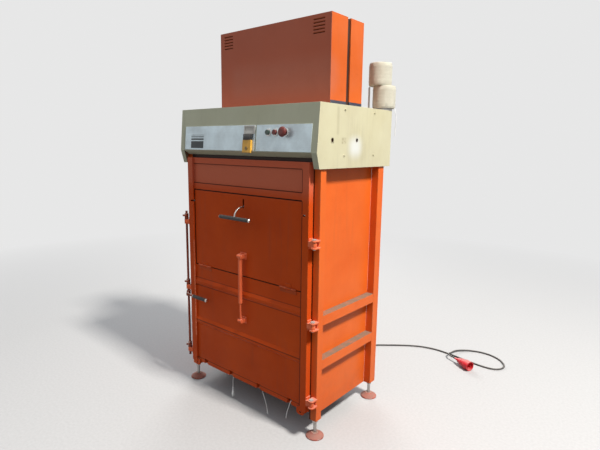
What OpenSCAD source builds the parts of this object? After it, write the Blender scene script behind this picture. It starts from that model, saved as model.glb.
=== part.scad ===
// Vertical recycling baler: a four-post steel body with ribbed sheet walls, a
// full-height front door with a loading hatch in it, a folded sheet head that
// carries the controls, two sheet hoods over the press cylinder and its power
// pack, two spools of baling twine and a mains lead. Millimetres, +Z up, the
// operator stands at -Y. The origin is on the floor, under the middle of the
// machine without its lead and twine ends.

/* [Body] */
// Width over the corner posts
body_w = 1180; // [1060:10:1400]
// Depth from the front face of the front posts to the back of the rear posts
body_d = 675; // [640:5:800]
// Height of the lower end of the posts and of the wall sheets
post_low = 112; // [95:1:125]
// Width of every corner post
post_w = 50; // [45:1:60]
// Depth of each front post
front_post_d = 50; // [45:1:60]
// Depth of each rear post
rear_post_d = 65; // [55:1:80]
// Wall thickness of the post tubes
tube_wall = 4; // [3:0.5:6]
// Thickness of the wall sheets
sheet_t = 3; // [2:0.5:4]
// Height of the channel ribs on the walls
rib_h = 60; // [40:1:80]
// Height of the middle of the lower rib
rib_low_z = 462; // [380:1:520]
// Height of the middle of the upper rib
rib_high_z = 737; // [640:1:840]
// Top of the bale floor
floor_z = 221; // [205:1:230]
// Thickness of the floor plate
floor_t = 6; // [4:1:10]
// Height of the sill beams under the floor
sill_h = 60; // [50:1:70]
// Distance between neighbouring strap channels
strap_pitch = 267; // [200:1:300]
// Clear width of a strap channel
strap_w = 30; // [20:1:40]

/* [Feet] */
// Diameter of a foot pad
pad_d = 110; // [80:1:120]
// Height of a foot pad
pad_h = 30; // [24:1:40]
// Diameter of a foot stud
stud_d = 20; // [16:1:24]

/* [Door] */
// Height of the lower edge of the door
door_low = 170; // [150:1:190]
// Distance from the side of the body to the side of the door
door_inset = 48.5; // [44:0.5:70]
// Depth of the door frame
door_t = 40; // [36:1:50]
// Gap between the door and the posts
door_gap = 2; // [1:0.5:5]
// Width of each door stile
stile_w = 50; // [44:1:70]
// Distance that the stiles stand in front of the panels and rails
recess = 15; // [10:1:18]
// Thickness of the door and hatch sheets
panel_t = 3; // [2:0.5:4]
// Height of the bottom rail
bottom_rail_h = 51; // [50:1:70]
// Height of the lower panel with its two swages
lower_h = 688; // [640:1:740]
// Height of the loading hatch, with its gaps
hatch_h = 532; // [480:1:560]
// Height of the rail above the hatch
mid_rail_h = 46; // [36:1:60]
// Height of the top panel
top_panel_h = 131; // [90:1:160]
// Height of the top rail
top_rail_h = 40; // [30:1:50]
// Depth that the top panel lies behind the rails
top_panel_sink = 6; // [4:1:10]
// Height of the middle of the lower swage
swage_low_z = 492; // [430:1:560]
// Height of the middle of the upper swage
swage_high_z = 784; // [700:1:810]
// Height of a swage at the sheet
swage_h = 56; // [40:1:70]
// Distance that a swage stands in front of the sheet
swage_out = 9; // [6:0.5:10]

/* [Door hinges and lock] */
// Height of the lowest hinge
hinge_low_z = 241; // [235:1:270]
// Distance between neighbouring hinges
hinge_pitch = 482; // [400:1:500]
// Distance from each side of the body in to the upright hinge or lock axis
hinge_in = 10; // [6:0.5:13]
// Distance of the hinge axis in front of the posts
hinge_out = 35; // [32:1:40]
// Diameter of a hinge pin and of the lock shaft
pin_d = 16; // [12:1:18]
// Outside diameter of a hinge eye
eye_d = 30; // [28:1:40]
// Height of a hinge eye
eye_h = 32; // [28:1:44]
// Height of the lock lever
lever_z = 680; // [660:1:690]
// Length of the straight part of the lock lever, from its elbow
lever_len = 212; // [180:1:240]
// Running clearance around the pins, on the radius
pin_clear = 0.08; // [0.02:0.01:0.1]

/* [Hatch] */
// Gap around the hatch
hatch_gap = 3; // [2:0.5:4]
// Depth of the folded edges of the hatch
hatch_flange = 20; // [18:1:21]
// Outside diameter of a hatch hinge knuckle
knuckle_d = 12; // [10:1:14]
// Length of a hatch hinge
hatch_hinge_len = 130; // [100:1:160]
// Distance from each side of the hatch in to the middle of its hinge
hatch_hinge_in = 103.5; // [90:0.5:150]
// Height of the latch shaft below the top of the hatch opening
latch_drop = 80; // [70:1:110]
// Diameter of the latch shaft
latch_d = 16; // [14:1:16]
// Diameter of the latch lever rod
lever_d = 10; // [8:1:12]
// Radius of the bend of the latch lever
lever_bend = 65; // [50:1:75]
// Length of the latch grip
grip_len = 262; // [200:1:300]
// Diameter of the latch grip and of the lock grip
grip_d = 24; // [20:1:28]

/* [Hatch stay] */
// Distance from the middle of the door to the stay
stay_x = 0; // [-20:1:70]
// Distance of the stay pivots in front of the panels
stay_out = 32; // [31:1:50]
// Height of the upper pivot above the hatch hinge
stay_up = 137; // [130:1:160]
// Distance of the lower pivot below the hatch hinge
stay_down = 294; // [280:1:300]
// Outside diameter of the stay tube
stay_d = 26; // [24:1:30]
// Length of the stay tube from its pivot
stay_tube_len = 310; // [290:1:315]
// Length of the stay rod from its pivot
stay_rod_len = 290; // [270:1:300]
// Diameter of the stay rod
stay_rod_d = 12; // [10:1:12]

/* [Head] */
// Distance that the head stands out past each side of the body
head_over = 10; // [8:1:20]
// Distance from the top of the door down to the lower edge of the end caps
cap_drop = 36; // [20:1:50]
// Height of the head
head_h = 356; // [340:1:400]
// Height of the knee of the head front above its lower edge
knee_h = 86; // [70:1:100]
// Distance of the front top edge of the head in front of the posts
head_top_out = 30; // [24:1:40]
// Distance of the knee in front of the posts
knee_out = 53; // [46:1:60]
// Distance of the lower front edge in front of the posts
head_low_out = 29; // [24:1:40]
// Distance of the back of the head behind the rear posts
head_back_out = 58; // [52:1:80]
// Thickness of the head sheets
head_t = 2; // [1.5:0.5:3]
// Width of the end cap flanges
cap_flange = 38; // [30:1:45]
// Height of the control plates
plate_h = 153; // [140:1:170]
// Thickness of the control plates
plate_t = 3; // [2:0.5:4]

/* [Controls] */
// Distance from the middle of the head to the start button
start_x = 238; // [220:1:240]
// Distance from the middle of the head to the stop button
stop_x = 293; // [290:1:298]
// Distance from the middle of the head to the mushroom button
mushroom_x = 371; // [360:1:390]
// Diameter of the small buttons
button_d = 30; // [24:1:32]
// Diameter of the mushroom button
mushroom_d = 58; // [50:1:70]
// Travel of the buttons
button_travel = 5; // [4:0.5:6]

/* [Hoods] */
// Distance from each side of the head in to the side of the hoods
hood_side = 122; // [100:1:150]
// Distance of the front hood behind the front of the posts
hood_in = 218; // [210:1:230]
// Depth of the front hood
front_hood_d = 162; // [150:1:170]
// Open gap between the hoods
hood_gap = 33; // [30:1:40]
// Depth of the rear hood
rear_hood_d = 141; // [140:1:150]
// Height of the hoods
hood_h = 486; // [470:1:520]
// Thickness of the hood sheets
hood_t = 2; // [1.5:0.5:3]
// Height of the steel base frame under the hoods
base_h = 16; // [10:1:20]
// Height of the rubber strip under the hoods
seal_h = 20; // [14:1:24]
// Number of louvres in each group
louvre_n = 5; // [3:1:6]
// Distance between neighbouring louvres
louvre_pitch = 19; // [16:1:20]
// Width of a louvre
louvre_w = 86; // [70:1:100]

/* [Press] */
// Travel of the platen
stroke = 680; // [600:5:690]
// Outside diameter of the cylinder barrel
barrel_d = 104; // [100:1:110]
// Bore of the cylinder barrel
barrel_bore = 86; // [80:1:88]
// Diameter of the press rod
rod_d = 50; // [40:1:56]
// Gap between the platen and the walls
platen_gap = 12; // [10:1:16]
// Height of the platen
platen_h = 100; // [90:1:110]
// Width of the oil tank
tank_w = 290; // [240:1:300]
// Height of the oil tank
tank_h = 270; // [200:1:290]
// Outside diameter of the pump motor
motor_d = 122; // [110:1:124]
// Height of the motor
motor_h = 250; // [220:1:260]
// Height of the pump block under the motor
pump_h = 90; // [80:1:100]

/* [Twine] */
// Diameter of a twine spool
spool_d = 150; // [130:1:150]
// Height of a twine spool
spool_h = 142; // [120:1:160]
// Diameter of the twine
twine_d = 4; // [3:0.5:4.5]

/* [Hidden] */
$fn = 48;

// Small distance that a cut runs past a face
e = 1;
orange = "#d8541c";
cream = "#e2dcb4";
steel = "#b9bcbe";
dark = "#2a2a2c";
half_w = body_w / 2;
wall_x = half_w - post_w;
in_x = wall_x - sheet_t;

// Places along Y, from the parts that reach furthest forwards and backwards
latch_straight = 25;
latch_in = recess - door_t - door_gap + panel_t + latch_d / 2 + 1;
front_reach = max(latch_straight + lever_bend - latch_in + grip_d / 2,
    door_gap + door_t - recess + stay_out + stay_d / 2);
spool_back = 47;
rear_reach = max(spool_back + spool_d / 2, head_back_out);
front_y = front_reach - (front_reach + body_d + rear_reach) / 2;
back_y = front_y + body_d;
wall_y = back_y - rear_post_d;
in_y = wall_y - sheet_t;
door_back = front_y - door_gap;
door_front = door_back - door_t;
panel_y = door_front + recess;

// Heights that follow from the stack of the door's pieces
lower_z = door_low + bottom_rail_h;
hatch_z = lower_z + lower_h;
mid_rail_z = hatch_z + hatch_h;
top_panel_z = mid_rail_z + mid_rail_h;
top_rail_z = top_panel_z + top_panel_h;
door_top = top_rail_z + top_rail_h;
head_low = door_top - cap_drop;
head_top = head_low + head_h;
knee_z = head_low + knee_h;
ring_h = 60;
post_top = head_low + head_h / 2;
beam_h = 120;
deck_t = 16;
deck_z = post_top + beam_h;

// Feet
foot_x = half_w - post_w / 2;
foot_y = [front_y + front_post_d / 2, back_y - rear_post_d / 2];
stud_seat = 14;
stud_up = 60;
base_t = 8;

// Floor and strap channels
channel_h = 36;
channel_wall = 3;
strap_x = [for (i = [-1.5:1:1.5]) i * strap_pitch];

// Door
door_x = half_w - door_inset;
stile_in = door_x - stile_w;
stile_wall = 3;
hatch_x = stile_in - hatch_gap;
hinge_zs = [for (i = [0:2]) hinge_low_z + i * hinge_pitch];
hinge_x = half_w - hinge_in;
hinge_y = front_y - hinge_out;
eye_gap = 0.5;
ear_t = 8;
ear_d = 40;

// Hatch hinge and latch
hatch_axis_y = panel_y - knuckle_d / 2;
hatch_axis_z = hatch_z;
hatch_hinge_x = hatch_x - hatch_hinge_in;
latch_y = front_y + latch_in;
latch_z = mid_rail_z - latch_drop;
blade_t = 7;
blade_len = 24;
keyhole = 1.5;
grip_wall = 5;

// Stay
stay_y = panel_y - stay_out;
stay_pin_d = 10;
stay_clear = 4;

// Head
cap_x = half_w + head_over;
face_x = cap_x - cap_flange;
head_top_y = front_y - head_top_out;
knee_y = front_y - knee_out;
head_low_y = front_y - head_low_out;
head_back_y = back_y + head_back_out;
face_angle = atan((knee_out - head_top_out) / (head_top - knee_z));
face_low_z = knee_z - 28;

// Hoods
hood_x = cap_x - hood_side;
hood_y0 = front_y + hood_in;
hood_y1 = hood_y0 + front_hood_d;
hood_y2 = hood_y1 + hood_gap;
hood_y3 = hood_y2 + rear_hood_d;
base_z = head_top + base_h;
hood_z = base_z + seal_h;
hood_top = hood_z + hood_h;
hood_lip = 25;
beam_w = 50;
beam_y = [hood_y0 - 16, hood_y3 - 32];

// Press
press_y = (front_y + in_y) / 2;
platen_z = top_panel_z + 13;
platen_x = in_x - platen_gap;
platen_front = front_y + 15;
platen_back = in_y - platen_gap;
barrel_low = platen_z + platen_h + 50;
gland_h = 40;
piston_h = 50;
barrel_top = barrel_low + gland_h + stroke + piston_h + 20 + 20;

// Spools
spool_x = cap_x - 57;
spool_y = back_y + spool_back;
spool_z = head_top + 15;

// Route of the mains lead from its gland at the back of the head to the plug
cord_d = 13;
gland_at = [300, back_y + 34];
gland_low = head_low - 62;
plug_r = 37.5;
lead_end = [830, 1217, plug_r];
lead_points = [
    [gland_at.x, gland_at.y, gland_low], [300, 371, 1480], [300, 374, 1100], [300, 378, 600], [300, 385, 200],
    [299, 398, 110], [296, 424, 48], [291, 468, 15], [283, 530, 7.5], [258, 630, 6.5],
    [215, 740, 6.5], [170, 840, 6.5], [142, 920, 6.5], [140, 1000, 6.5], [172, 1066, 6.5],
    [252, 1138, 6.5], [333, 1206, 6.5], [410, 1262, 6.5], [488, 1304, 6.5], [565, 1328, 6.5],
    [651, 1336, 6.5], [745, 1328, 6.5], [836, 1313, 6.5], [927, 1297, 6.5], [1010, 1288, 6.5],
    [1073, 1288, 6.5], [1124, 1304, 6.5], [1156, 1340, 6.5], [1166, 1390, 6.5], [1148, 1443, 6.5],
    [1105, 1494, 6.5], [1054, 1526, 6.5], [991, 1543, 6.5], [916, 1539, 6.5], [849, 1510, 8.5],
    [792, 1459, 12], [760, 1395, 18], [747.1, 1327.7, 19.9], [748.3, 1279.3, 28.1], [774.4, 1243.8, 37], lead_end];

// Routes of the loose twine ends
twine_spool_points = [[583, 448, 2004], [589, 451, 1985], [599, 452, 1955], [603, 451, 1920], [600, 450, 1885],
    [597, 450, 1852], [600, 450, 1820]];
twine_left_points = [[-123, front_y + 12, 184.4], [-124, front_y - 2, 184], [-125, front_y - 12, 176],
    [-126, front_y - 16, 156], [-128, front_y - 16, 126], [-129, front_y - 16, 106], [-130, front_y - 16, 56],
    [-131, front_y - 16, 7]];
twine_middle_points = [[142, front_y + 12, 184.4], [144, front_y - 2, 184], [147, front_y - 10, 174],
    [151, front_y - 12, 163], [179, front_y - 14, 107], [195, front_y - 16, 68], [210, front_y - 18, 19]];
twine_right_points = [[402, front_y + 12, 184.4], [401, front_y - 2, 184], [397, front_y - 12, 174],
    [389.5, front_y - 16, 146], [373, front_y - 16, 98], [365.5, front_y - 16, 54]];

// Box between two opposite corners
module box(lo, hi) {
    translate(lo) cube(hi - lo);
}

// Cylinder along X that starts at p
module rod_x(p, d, len) {
    translate(p) rotate([0, 90, 0]) cylinder(h = len, d = d);
}

// Cylinder along Y that starts at p
module rod_y(p, d, len) {
    translate(p) rotate([-90, 0, 0]) cylinder(h = len, d = d);
}

// Copies at both sides of the middle of the machine
module both_sides() {
    children();
    mirror([1, 0, 0]) children();
}

// Upright rectangular tube that is open at the top
module post(lo, size) {
    difference() {
        box(lo, [lo.x + size.x, lo.y + size.y, post_top]);
        box([lo.x + tube_wall, lo.y + tube_wall, lo.z + base_t],
            [lo.x + size.x - tube_wall, lo.y + size.y - tube_wall, post_top + e]);
        translate([lo.x + size.x / 2, lo.y + size.y / 2, lo.z - e]) cylinder(h = base_t + 2 * e, d = stud_d + 0.4);
    }
}

module corner_posts() {
    color(orange) both_sides() {
        post([wall_x, front_y, post_low], [post_w, front_post_d]);
        post([wall_x, wall_y, post_low], [post_w, rear_post_d]);
    }
}

module side_panels() {
    color(orange) both_sides() box([in_x, front_y, post_low], [wall_x, wall_y, post_top - ring_h]);
}

module rear_panel() {
    color(orange) box([-in_x, in_y, post_low], [in_x, wall_y, post_top - ring_h]);
}

// Channel rib with its open side towards the wall sheet, drawn along +X with its web at y = depth
module rib(len, depth) {
    rotate([90, 0, 90]) linear_extrude(len) difference() {
        square([depth, rib_h]);
        translate([-e, sheet_t]) square([depth + e - sheet_t, rib_h - 2 * sheet_t]);
    }
}

module wall_ribs() {
    side_len = wall_y - front_y - front_post_d;
    color(orange) for (z = [rib_low_z, rib_high_z]) {
        both_sides() translate([wall_x, wall_y, z - rib_h / 2]) rotate([0, 0, -90]) rib(side_len, post_w);
        translate([-wall_x, wall_y, z - rib_h / 2]) rib(2 * wall_x, rear_post_d);
    }
}

// Cut that lets the strap channels pass through a sill
module channel_cuts(y0, y1) {
    for (x = strap_x) box([x - strap_w / 2 - channel_wall, y0, floor_z - floor_t - channel_h],
        [x + strap_w / 2 + channel_wall, y1, floor_z]);
}

module floor_sills() {
    top = floor_z - floor_t;
    color(orange) difference() {
        union() {
            box([-in_x, front_y, top - sill_h], [in_x, front_y + front_post_d, top]);
            box([-in_x, in_y - post_w, top - sill_h], [in_x, in_y, top]);
            both_sides() box([in_x - post_w, front_y, top - sill_h], [in_x, in_y, top]);
        }
        channel_cuts(front_y - e, in_y + e);
    }
}

// Floor plate with slots for the straps and a folded channel welded under each slot
module floor_plate() {
    low = floor_z - floor_t;
    color("#8c5a3a") difference() {
        union() {
            box([-in_x, front_y, low], [in_x, in_y, floor_z]);
            for (x = strap_x) box([x - strap_w / 2 - channel_wall, front_y, low - channel_h],
                [x + strap_w / 2 + channel_wall, in_y, low]);
        }
        for (x = strap_x) box([x - strap_w / 2, front_y - e, low - channel_h + channel_wall],
            [x + strap_w / 2, in_y - 20, floor_z + e]);
    }
}

// Tube ring between the post tops, with the lintel sheet above the door
module top_ring() {
    z0 = post_top - ring_h;
    color(orange) {
        difference() {
            box([-wall_x, front_y, z0], [wall_x, back_y, post_top]);
            box([-in_x + post_w, front_y + front_post_d, z0 - e], [in_x - post_w, in_y, post_top + e]);
        }
        box([-in_x, front_y, door_top - 30], [in_x, front_y + sheet_t, z0]);
        both_sides() box([wall_x, front_y + front_post_d, z0], [half_w, wall_y, post_top]);
    }
}

// Two beams across the post ring and the plate that the cylinder hangs from
module crosshead() {
    color(orange) difference() {
        union() {
            for (y = beam_y) box([-cap_x + head_t, y - beam_w / 2, post_top], [cap_x - head_t, y + beam_w / 2, deck_z]);
            box([-hood_x + 30, beam_y[0] - beam_w / 2, deck_z], [hood_x - 30, beam_y[1] + beam_w / 2, deck_z + deck_t]);
        }
        for (y = beam_y) box([-cap_x - e, y - beam_w / 2 + tube_wall, post_top + tube_wall],
            [cap_x + e, y + beam_w / 2 - tube_wall, deck_z - tube_wall]);
        translate([0, press_y, post_top - e]) cylinder(h = beam_h + deck_t + 2 * e, d = barrel_d + 1);
    }
}

// Side outline of the head as [y, z] points, shrunk by t
function head_outline(t) = [
    [head_top_y + t, head_top - t], [knee_y + t, knee_z], [head_low_y + t, head_low - (t > 0 ? e : 0)],
    [head_back_y - t, head_low - (t > 0 ? e : 0)], [head_back_y - t, head_top - t]];

// Prism along X with a [y, z] outline
module yz_prism(points, x0, x1) {
    translate([x0, 0, 0]) rotate([90, 0, 90]) linear_extrude(x1 - x0) polygon(points);
}

module head_cap() {
    difference() {
        yz_prism(head_outline(0), face_x, cap_x);
        yz_prism(head_outline(head_t), face_x - e, cap_x - head_t);
    }
}

module head_cap_left() {
    color(cream) mirror([1, 0, 0]) head_cap();
}

// Two holes that are left in the right end cap
cap_holes = [[front_y + 85, head_low + 158, 22], [front_y + 331, head_low + 160, 22]];

module head_cap_right() {
    color(cream) difference() {
        head_cap();
        for (h = cap_holes) rod_x([cap_x - 10, h.x, h.y], h.z, 20);
    }
}

module head_front() {
    face = [[head_top_y, head_top], [knee_y, knee_z],
        [head_low_y - (head_low_out - knee_out) * (head_low - face_low_z) / (head_low - knee_z), face_low_z]];
    color(cream) difference() {
        yz_prism(concat(face, [for (i = [2:-1:0]) face[i] + [head_t, 0]]), -face_x, face_x);
        for (x = button_x) on_face(x, button_up) rod_y([0, -e, 0], button_d - 7, 2 * head_t + e);
    }
}

module head_top() {
    color(cream) difference() {
        box([-face_x, head_top_y + head_t, head_top - head_t], [face_x, head_back_y - head_t, head_top]);
        box([-hood_x + 14, hood_y0 + 14, head_top - 10], [hood_x - 14, hood_y3 - 14, head_top + e]);
    }
}

module head_rear() {
    low_lip = head_back_out - 11;
    color(cream) difference() {
        union() {
            box([-face_x, head_back_y - head_t, head_low], [face_x, head_back_y, head_top]);
            box([-face_x, head_back_y - low_lip, head_low], [face_x, head_back_y, head_low + head_t]);
        }
        translate([gland_at.x, gland_at.y, head_low - e]) cylinder(h = 10, d = 25);
    }
}

// Frame on the sloping front of the head: x across, y into the face, z up the face from the knee
module on_face(x, up) {
    translate([x, knee_y, knee_z]) rotate([-face_angle, 0, 0]) translate([0, 0, up]) children();
}

// Widths of the two control plates and the split between them
plate_low = 4;
plate_split = [128, 138];

module control_plates() {
    color("#c4cdd2") on_face(0, plate_low) difference() {
        union() {
            box([-face_x + 14, -plate_t, 0], [plate_split[0], 0, plate_h]);
            box([plate_split[1], -plate_t, 0], [face_x - 4, 0, plate_h]);
        }
        for (x = button_x) rod_y([x, -plate_t - e, button_up - plate_low], button_d - 7, plate_t + 2 * e);
    }
}

button_up = 112;
button_x = [start_x, stop_x, mushroom_x];
unit_x = [36, 108];
block_t = 14;

module switch_bezel() {
    color("#9a9d9a") on_face(0, 104) difference() {
        box([unit_x[0], -plate_t - 6, 0], [plate_split[0], -plate_t, 50]);
        box([unit_x[0] + 10, -plate_t - 7, 10], [plate_split[0] - 10, -plate_t - 3, 40]);
    }
}

module switch_body() {
    color(dark) on_face(0, 68) union() {
        box([unit_x[0] + 3, -plate_t - block_t, 0], [unit_x[1] - 1, -plate_t, 35.7]);
        box([unit_x[0] + 10, -plate_t - block_t - 4, 6], [unit_x[1] - 8, -plate_t - block_t, 29]);
    }
}

core_d = 22;
core_up = 26;

module lock_block() {
    color("#d9a520") on_face(0, -8) difference() {
        union() {
            box([unit_x[0], -plate_t - block_t, 13], [unit_x[1], -plate_t, 75.7]);
            box([unit_x[0], -plate_t - block_t, 0], [unit_x[1], -plate_t - 4, 13]);
        }
        rod_y([(unit_x[0] + unit_x[1]) / 2, -plate_t - block_t - e, core_up], core_d, 10);
    }
}

// Turning core with the key slot
module lock_core() {
    color(steel) on_face(0, -8) difference() {
        rod_y([(unit_x[0] + unit_x[1]) / 2, -plate_t - block_t - 2, core_up], core_d - 0.16, 10.5);
        box([(unit_x[0] + unit_x[1]) / 2 - 1.5, -plate_t - block_t - 3, core_up - 7],
            [(unit_x[0] + unit_x[1]) / 2 + 1.5, -plate_t - block_t + 5, core_up + 7]);
    }
}

// Clearances of a button: plunger, head, and how far its head and collar stand in front of the plate
plunger_d = button_d - 12;
head_out = 10;
collar_out = 8;

// Ring, with the plunger bore and the recess for the head, that sits on the plate
module collar(x) {
    shelf = head_out - button_travel - 2;
    on_face(x, button_up) rotate([90, 0, 0]) translate([0, 0, plate_t]) difference() {
        union() {
            cylinder(h = collar_out - 3, d = button_d + 14);
            translate([0, 0, collar_out - 3]) cylinder(h = 3, d1 = button_d + 14, d2 = button_d + 8);
        }
        translate([0, 0, shelf]) cylinder(h = collar_out, d = button_d + 2 * pin_clear);
        translate([0, 0, -e]) cylinder(h = collar_out, d = plunger_d + 2 * pin_clear);
    }
}

module button_collars() {
    color("#8f9396") {
        collar(start_x);
        collar(stop_x);
        collar(mushroom_x);
    }
}

// Button head with its plunger; the outline of the head is [radius, distance in front of the plate]
module button(x, outline) {
    on_face(x, button_up) rotate([90, 0, 0]) translate([0, 0, plate_t]) rotate_extrude() polygon(concat(
        [[0, -16], [plunger_d / 2, -16], [plunger_d / 2, head_out]], outline, [[0, outline[len(outline) - 1].y]]));
}

flat_head = [[button_d / 2, head_out], [button_d / 2, head_out + 6], [button_d / 2 - 2, head_out + 8]];

module start_button() {
    color("#123022") button(start_x, flat_head);
}

module stop_button() {
    color("#a3201a") button(stop_x, flat_head);
}

module stop_mushroom() {
    m = mushroom_d / 2;
    stem = plunger_d / 2 + 3;
    color("#b0281c") button(mushroom_x, [[stem, head_out], [stem, head_out + 12], [m - 4, head_out + 14],
        [m, head_out + 18], [m, head_out + 23], [m - 5, head_out + 29], [m - 14, head_out + 33]]);
}

// Base frame on the head and the upright frame between the hoods
module cover_mast() {
    color(dark) {
        difference() {
            box([-hood_x - 6, hood_y0 - 6, head_top], [hood_x + 6, hood_y3 + 6, base_z]);
            box([-hood_x + 14, hood_y0 + 14, head_top - e], [hood_x - 14, hood_y3 - 14, base_z + e]);
        }
        both_sides() box([hood_x - 58, hood_y1, base_z], [hood_x - 8, hood_y2, hood_top - 6]);
        box([-hood_x + 58, hood_y1, hood_top - 56], [hood_x - 58, hood_y2, hood_top - 6]);
    }
}

// Rubber strip under the walls of a hood that is open towards y1
module seal(y0, y1) {
    width = 14;
    back = y1 > y0 ? width : -width;
    difference() {
        box([-hood_x, min(y0, y1), base_z], [hood_x, max(y0, y1), hood_z]);
        box([-hood_x + width, min(y0 + back, y1 + back), base_z - e], [hood_x - width, max(y0 + back, y1 + back), hood_z + e]);
    }
}

module cover_seals() {
    color("#1c2440") {
        seal(hood_y0 + hood_t, hood_y1);
        seal(hood_y3, hood_y2);
    }
}

// Hood with its closed wall at y0 and its open side, with return lips, at y1
module hood(y0, y1) {
    lo = min(y0, y1);
    hi = max(y0, y1);
    difference() {
        box([-hood_x, lo, hood_z], [hood_x, hi, hood_top]);
        box([-hood_x + hood_t, lo + hood_t, hood_z - e], [hood_x - hood_t, hi - hood_t, hood_top - hood_t]);
        box([-hood_x + hood_lip, y1 - 10, hood_z - e], [hood_x - hood_lip, y1 + 10, hood_top - hood_lip]);
    }
}

louvre_top = 22;
louvre_x = 38;
slot_h = 9;

// Slots of one louvre group at the front of the hood
module louvre_slots(x0) {
    for (i = [0:louvre_n - 1]) box([x0, hood_y0 - 10, hood_top - louvre_top - i * louvre_pitch - slot_h],
        [x0 + louvre_w, hood_y0 + 10, hood_top - louvre_top - i * louvre_pitch]);
}

// Sloping blades behind the slots
module louvre_blades(x0) {
    for (i = [0:louvre_n - 1]) {
        z = hood_top - louvre_top - i * louvre_pitch;
        yz_prism([[hood_y0 + 1, z + 3], [hood_y0 + 3, z + 3], [hood_y0 + 12, z - slot_h - 2], [hood_y0 + 10, z - slot_h - 2],
            [hood_y0 + 1, z - 1]], x0 - 2, x0 + louvre_w + 2);
    }
}

module front_cover() {
    color(orange) {
        difference() {
            hood(hood_y0, hood_y1);
            louvre_slots(-hood_x + louvre_x);
            louvre_slots(hood_x - louvre_x - 10 - louvre_w);
        }
        louvre_blades(-hood_x + louvre_x);
        louvre_blades(hood_x - louvre_x - 10 - louvre_w);
        box([-hood_x, hood_y0, base_z], [hood_x, hood_y0 + hood_t, hood_z]);
    }
}

module rear_cover() {
    color(orange) hood(hood_y3, hood_y2);
}

// Barrel with its top cap, oil ports, hanging flange and rod gland
module cylinder_barrel() {
    flange_z = deck_z + deck_t;
    color("#3a3d42") difference() {
        union() {
            translate([0, press_y, barrel_low]) cylinder(h = barrel_top - barrel_low, d = barrel_d);
            translate([0, press_y, flange_z]) cylinder(h = 20, d = barrel_d + 44);
            translate([0, press_y, barrel_low - 8]) cylinder(h = 60, d = rod_d + 30);
            rod_y([0, press_y + barrel_d / 2 - 4, barrel_top - 60], 26, 20);
            rod_y([0, press_y + barrel_d / 2 - 4, flange_z + 60], 26, 20);
        }
        translate([0, press_y, barrel_low + gland_h]) cylinder(h = barrel_top - 20 - barrel_low - gland_h, d = barrel_bore);
        translate([0, press_y, barrel_low - 10]) cylinder(h = gland_h + 20, d = rod_d + 2 * pin_clear);
    }
}

// Press rod with its piston
module ram() {
    top = barrel_top - 20 - 10;
    low = platen_z + 60;
    color(steel) translate([0, press_y, 0]) union() {
        translate([0, 0, low]) cylinder(h = top - low, d = rod_d);
        translate([0, 0, top - piston_h]) cylinder(h = piston_h, d = barrel_bore - 2 * pin_clear);
    }
}

module oil_tank() {
    y0 = hood_y2 + 12;
    y1 = hood_y3 - 18;
    z = deck_z + deck_t;
    color("#3f4a4d") union() {
        box([-hood_x + 58, y0, z], [-hood_x + 58 + tank_w, y1, z + tank_h]);
        box([-hood_x + 54, y0 - 3, z + tank_h], [-hood_x + 62 + tank_w, y1 + 3, z + tank_h + 5]);
        translate([-hood_x + tank_w - 12, (y0 + y1) / 2, z + tank_h + 5]) cylinder(h = 24, d = 44);
    }
}

// Upright motor with cooling rings on its pump block
module pump_motor() {
    y = (hood_y2 + hood_y3) / 2;
    z = deck_z + deck_t;
    x = hood_x - 228;
    color("#56707a") union() {
        box([x - 50, y - 50, z], [x + 50, y + 50, z + pump_h]);
        translate([x, y, z + pump_h]) cylinder(h = motor_h, d = motor_d - 12);
        for (i = [0:10]) translate([x, y, z + pump_h + 20 + i * 18]) cylinder(h = 5, d = motor_d);
        translate([x, y, z + pump_h + motor_h]) cylinder(h = 30, d = motor_d);
    }
}

// Fabricated press plate with strap slots, cross ribs and a boss for the rod
module platen() {
    plate = 12;
    rib_t = 8;
    color("#a8471e") difference() {
        union() {
            box([-platen_x, platen_front, platen_z], [platen_x, platen_back, platen_z + plate]);
            for (y = [platen_front, press_y - rib_t / 2, platen_back - rib_t])
                box([-platen_x, y, platen_z], [platen_x, y + rib_t, platen_z + 60]);
            both_sides() for (x = [90, 330, platen_x - rib_t])
                box([x, platen_front, platen_z], [x + rib_t, platen_back, platen_z + 60]);
            translate([0, press_y, platen_z]) cylinder(h = platen_h, d = rod_d + 50);
        }
        for (x = strap_x) box([x - strap_w / 2, platen_front - e, platen_z - e],
            [x + strap_w / 2, platen_back + e, platen_z + 8]);
        translate([0, press_y, platen_z + 60]) cylinder(h = platen_h, d = rod_d + 0.4);
    }
}

module at_feet() {
    for (x = [-foot_x, foot_x], y = foot_y) translate([x, y, 0]) children();
}

module foot_studs() {
    nut_h = 16;
    color(steel) at_feet() union() {
        translate([0, 0, stud_seat]) cylinder(h = post_low + stud_up - stud_seat, d = stud_d);
        translate([0, 0, post_low - nut_h]) cylinder(h = nut_h, d = 1.8 * stud_d, $fn = 6);
    }
}

module foot_pads() {
    color("#c4622e") at_feet() rotate_extrude() polygon([
        [0, 0], [pad_d / 2, 0], [pad_d / 2, 7], [pad_d / 2 - 4, 10], [stud_d + 6, pad_h - 4], [stud_d + 3, pad_h],
        [stud_d / 2 + 0.4, pad_h], [stud_d / 2 + 0.4, stud_seat], [0, stud_seat]]);
}

// Rectangular tube between two corners, hollow along Z
module stile_tube() {
    difference() {
        box([stile_in, door_front, door_low], [door_x, door_back, door_top]);
        box([stile_in + stile_wall, door_front + stile_wall, door_low - e],
            [door_x - stile_wall, door_back - stile_wall, door_top - stile_wall]);
        rod_x([stile_in - e, latch_y, latch_z], latch_d + 2, blade_len + 4);
        box([stile_in - e, door_front - e, latch_z - blade_t / 2 - keyhole],
            [stile_in + blade_len + 3, latch_y, latch_z + blade_t / 2 + keyhole]);
    }
}

lug_drop = 30;

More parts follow.
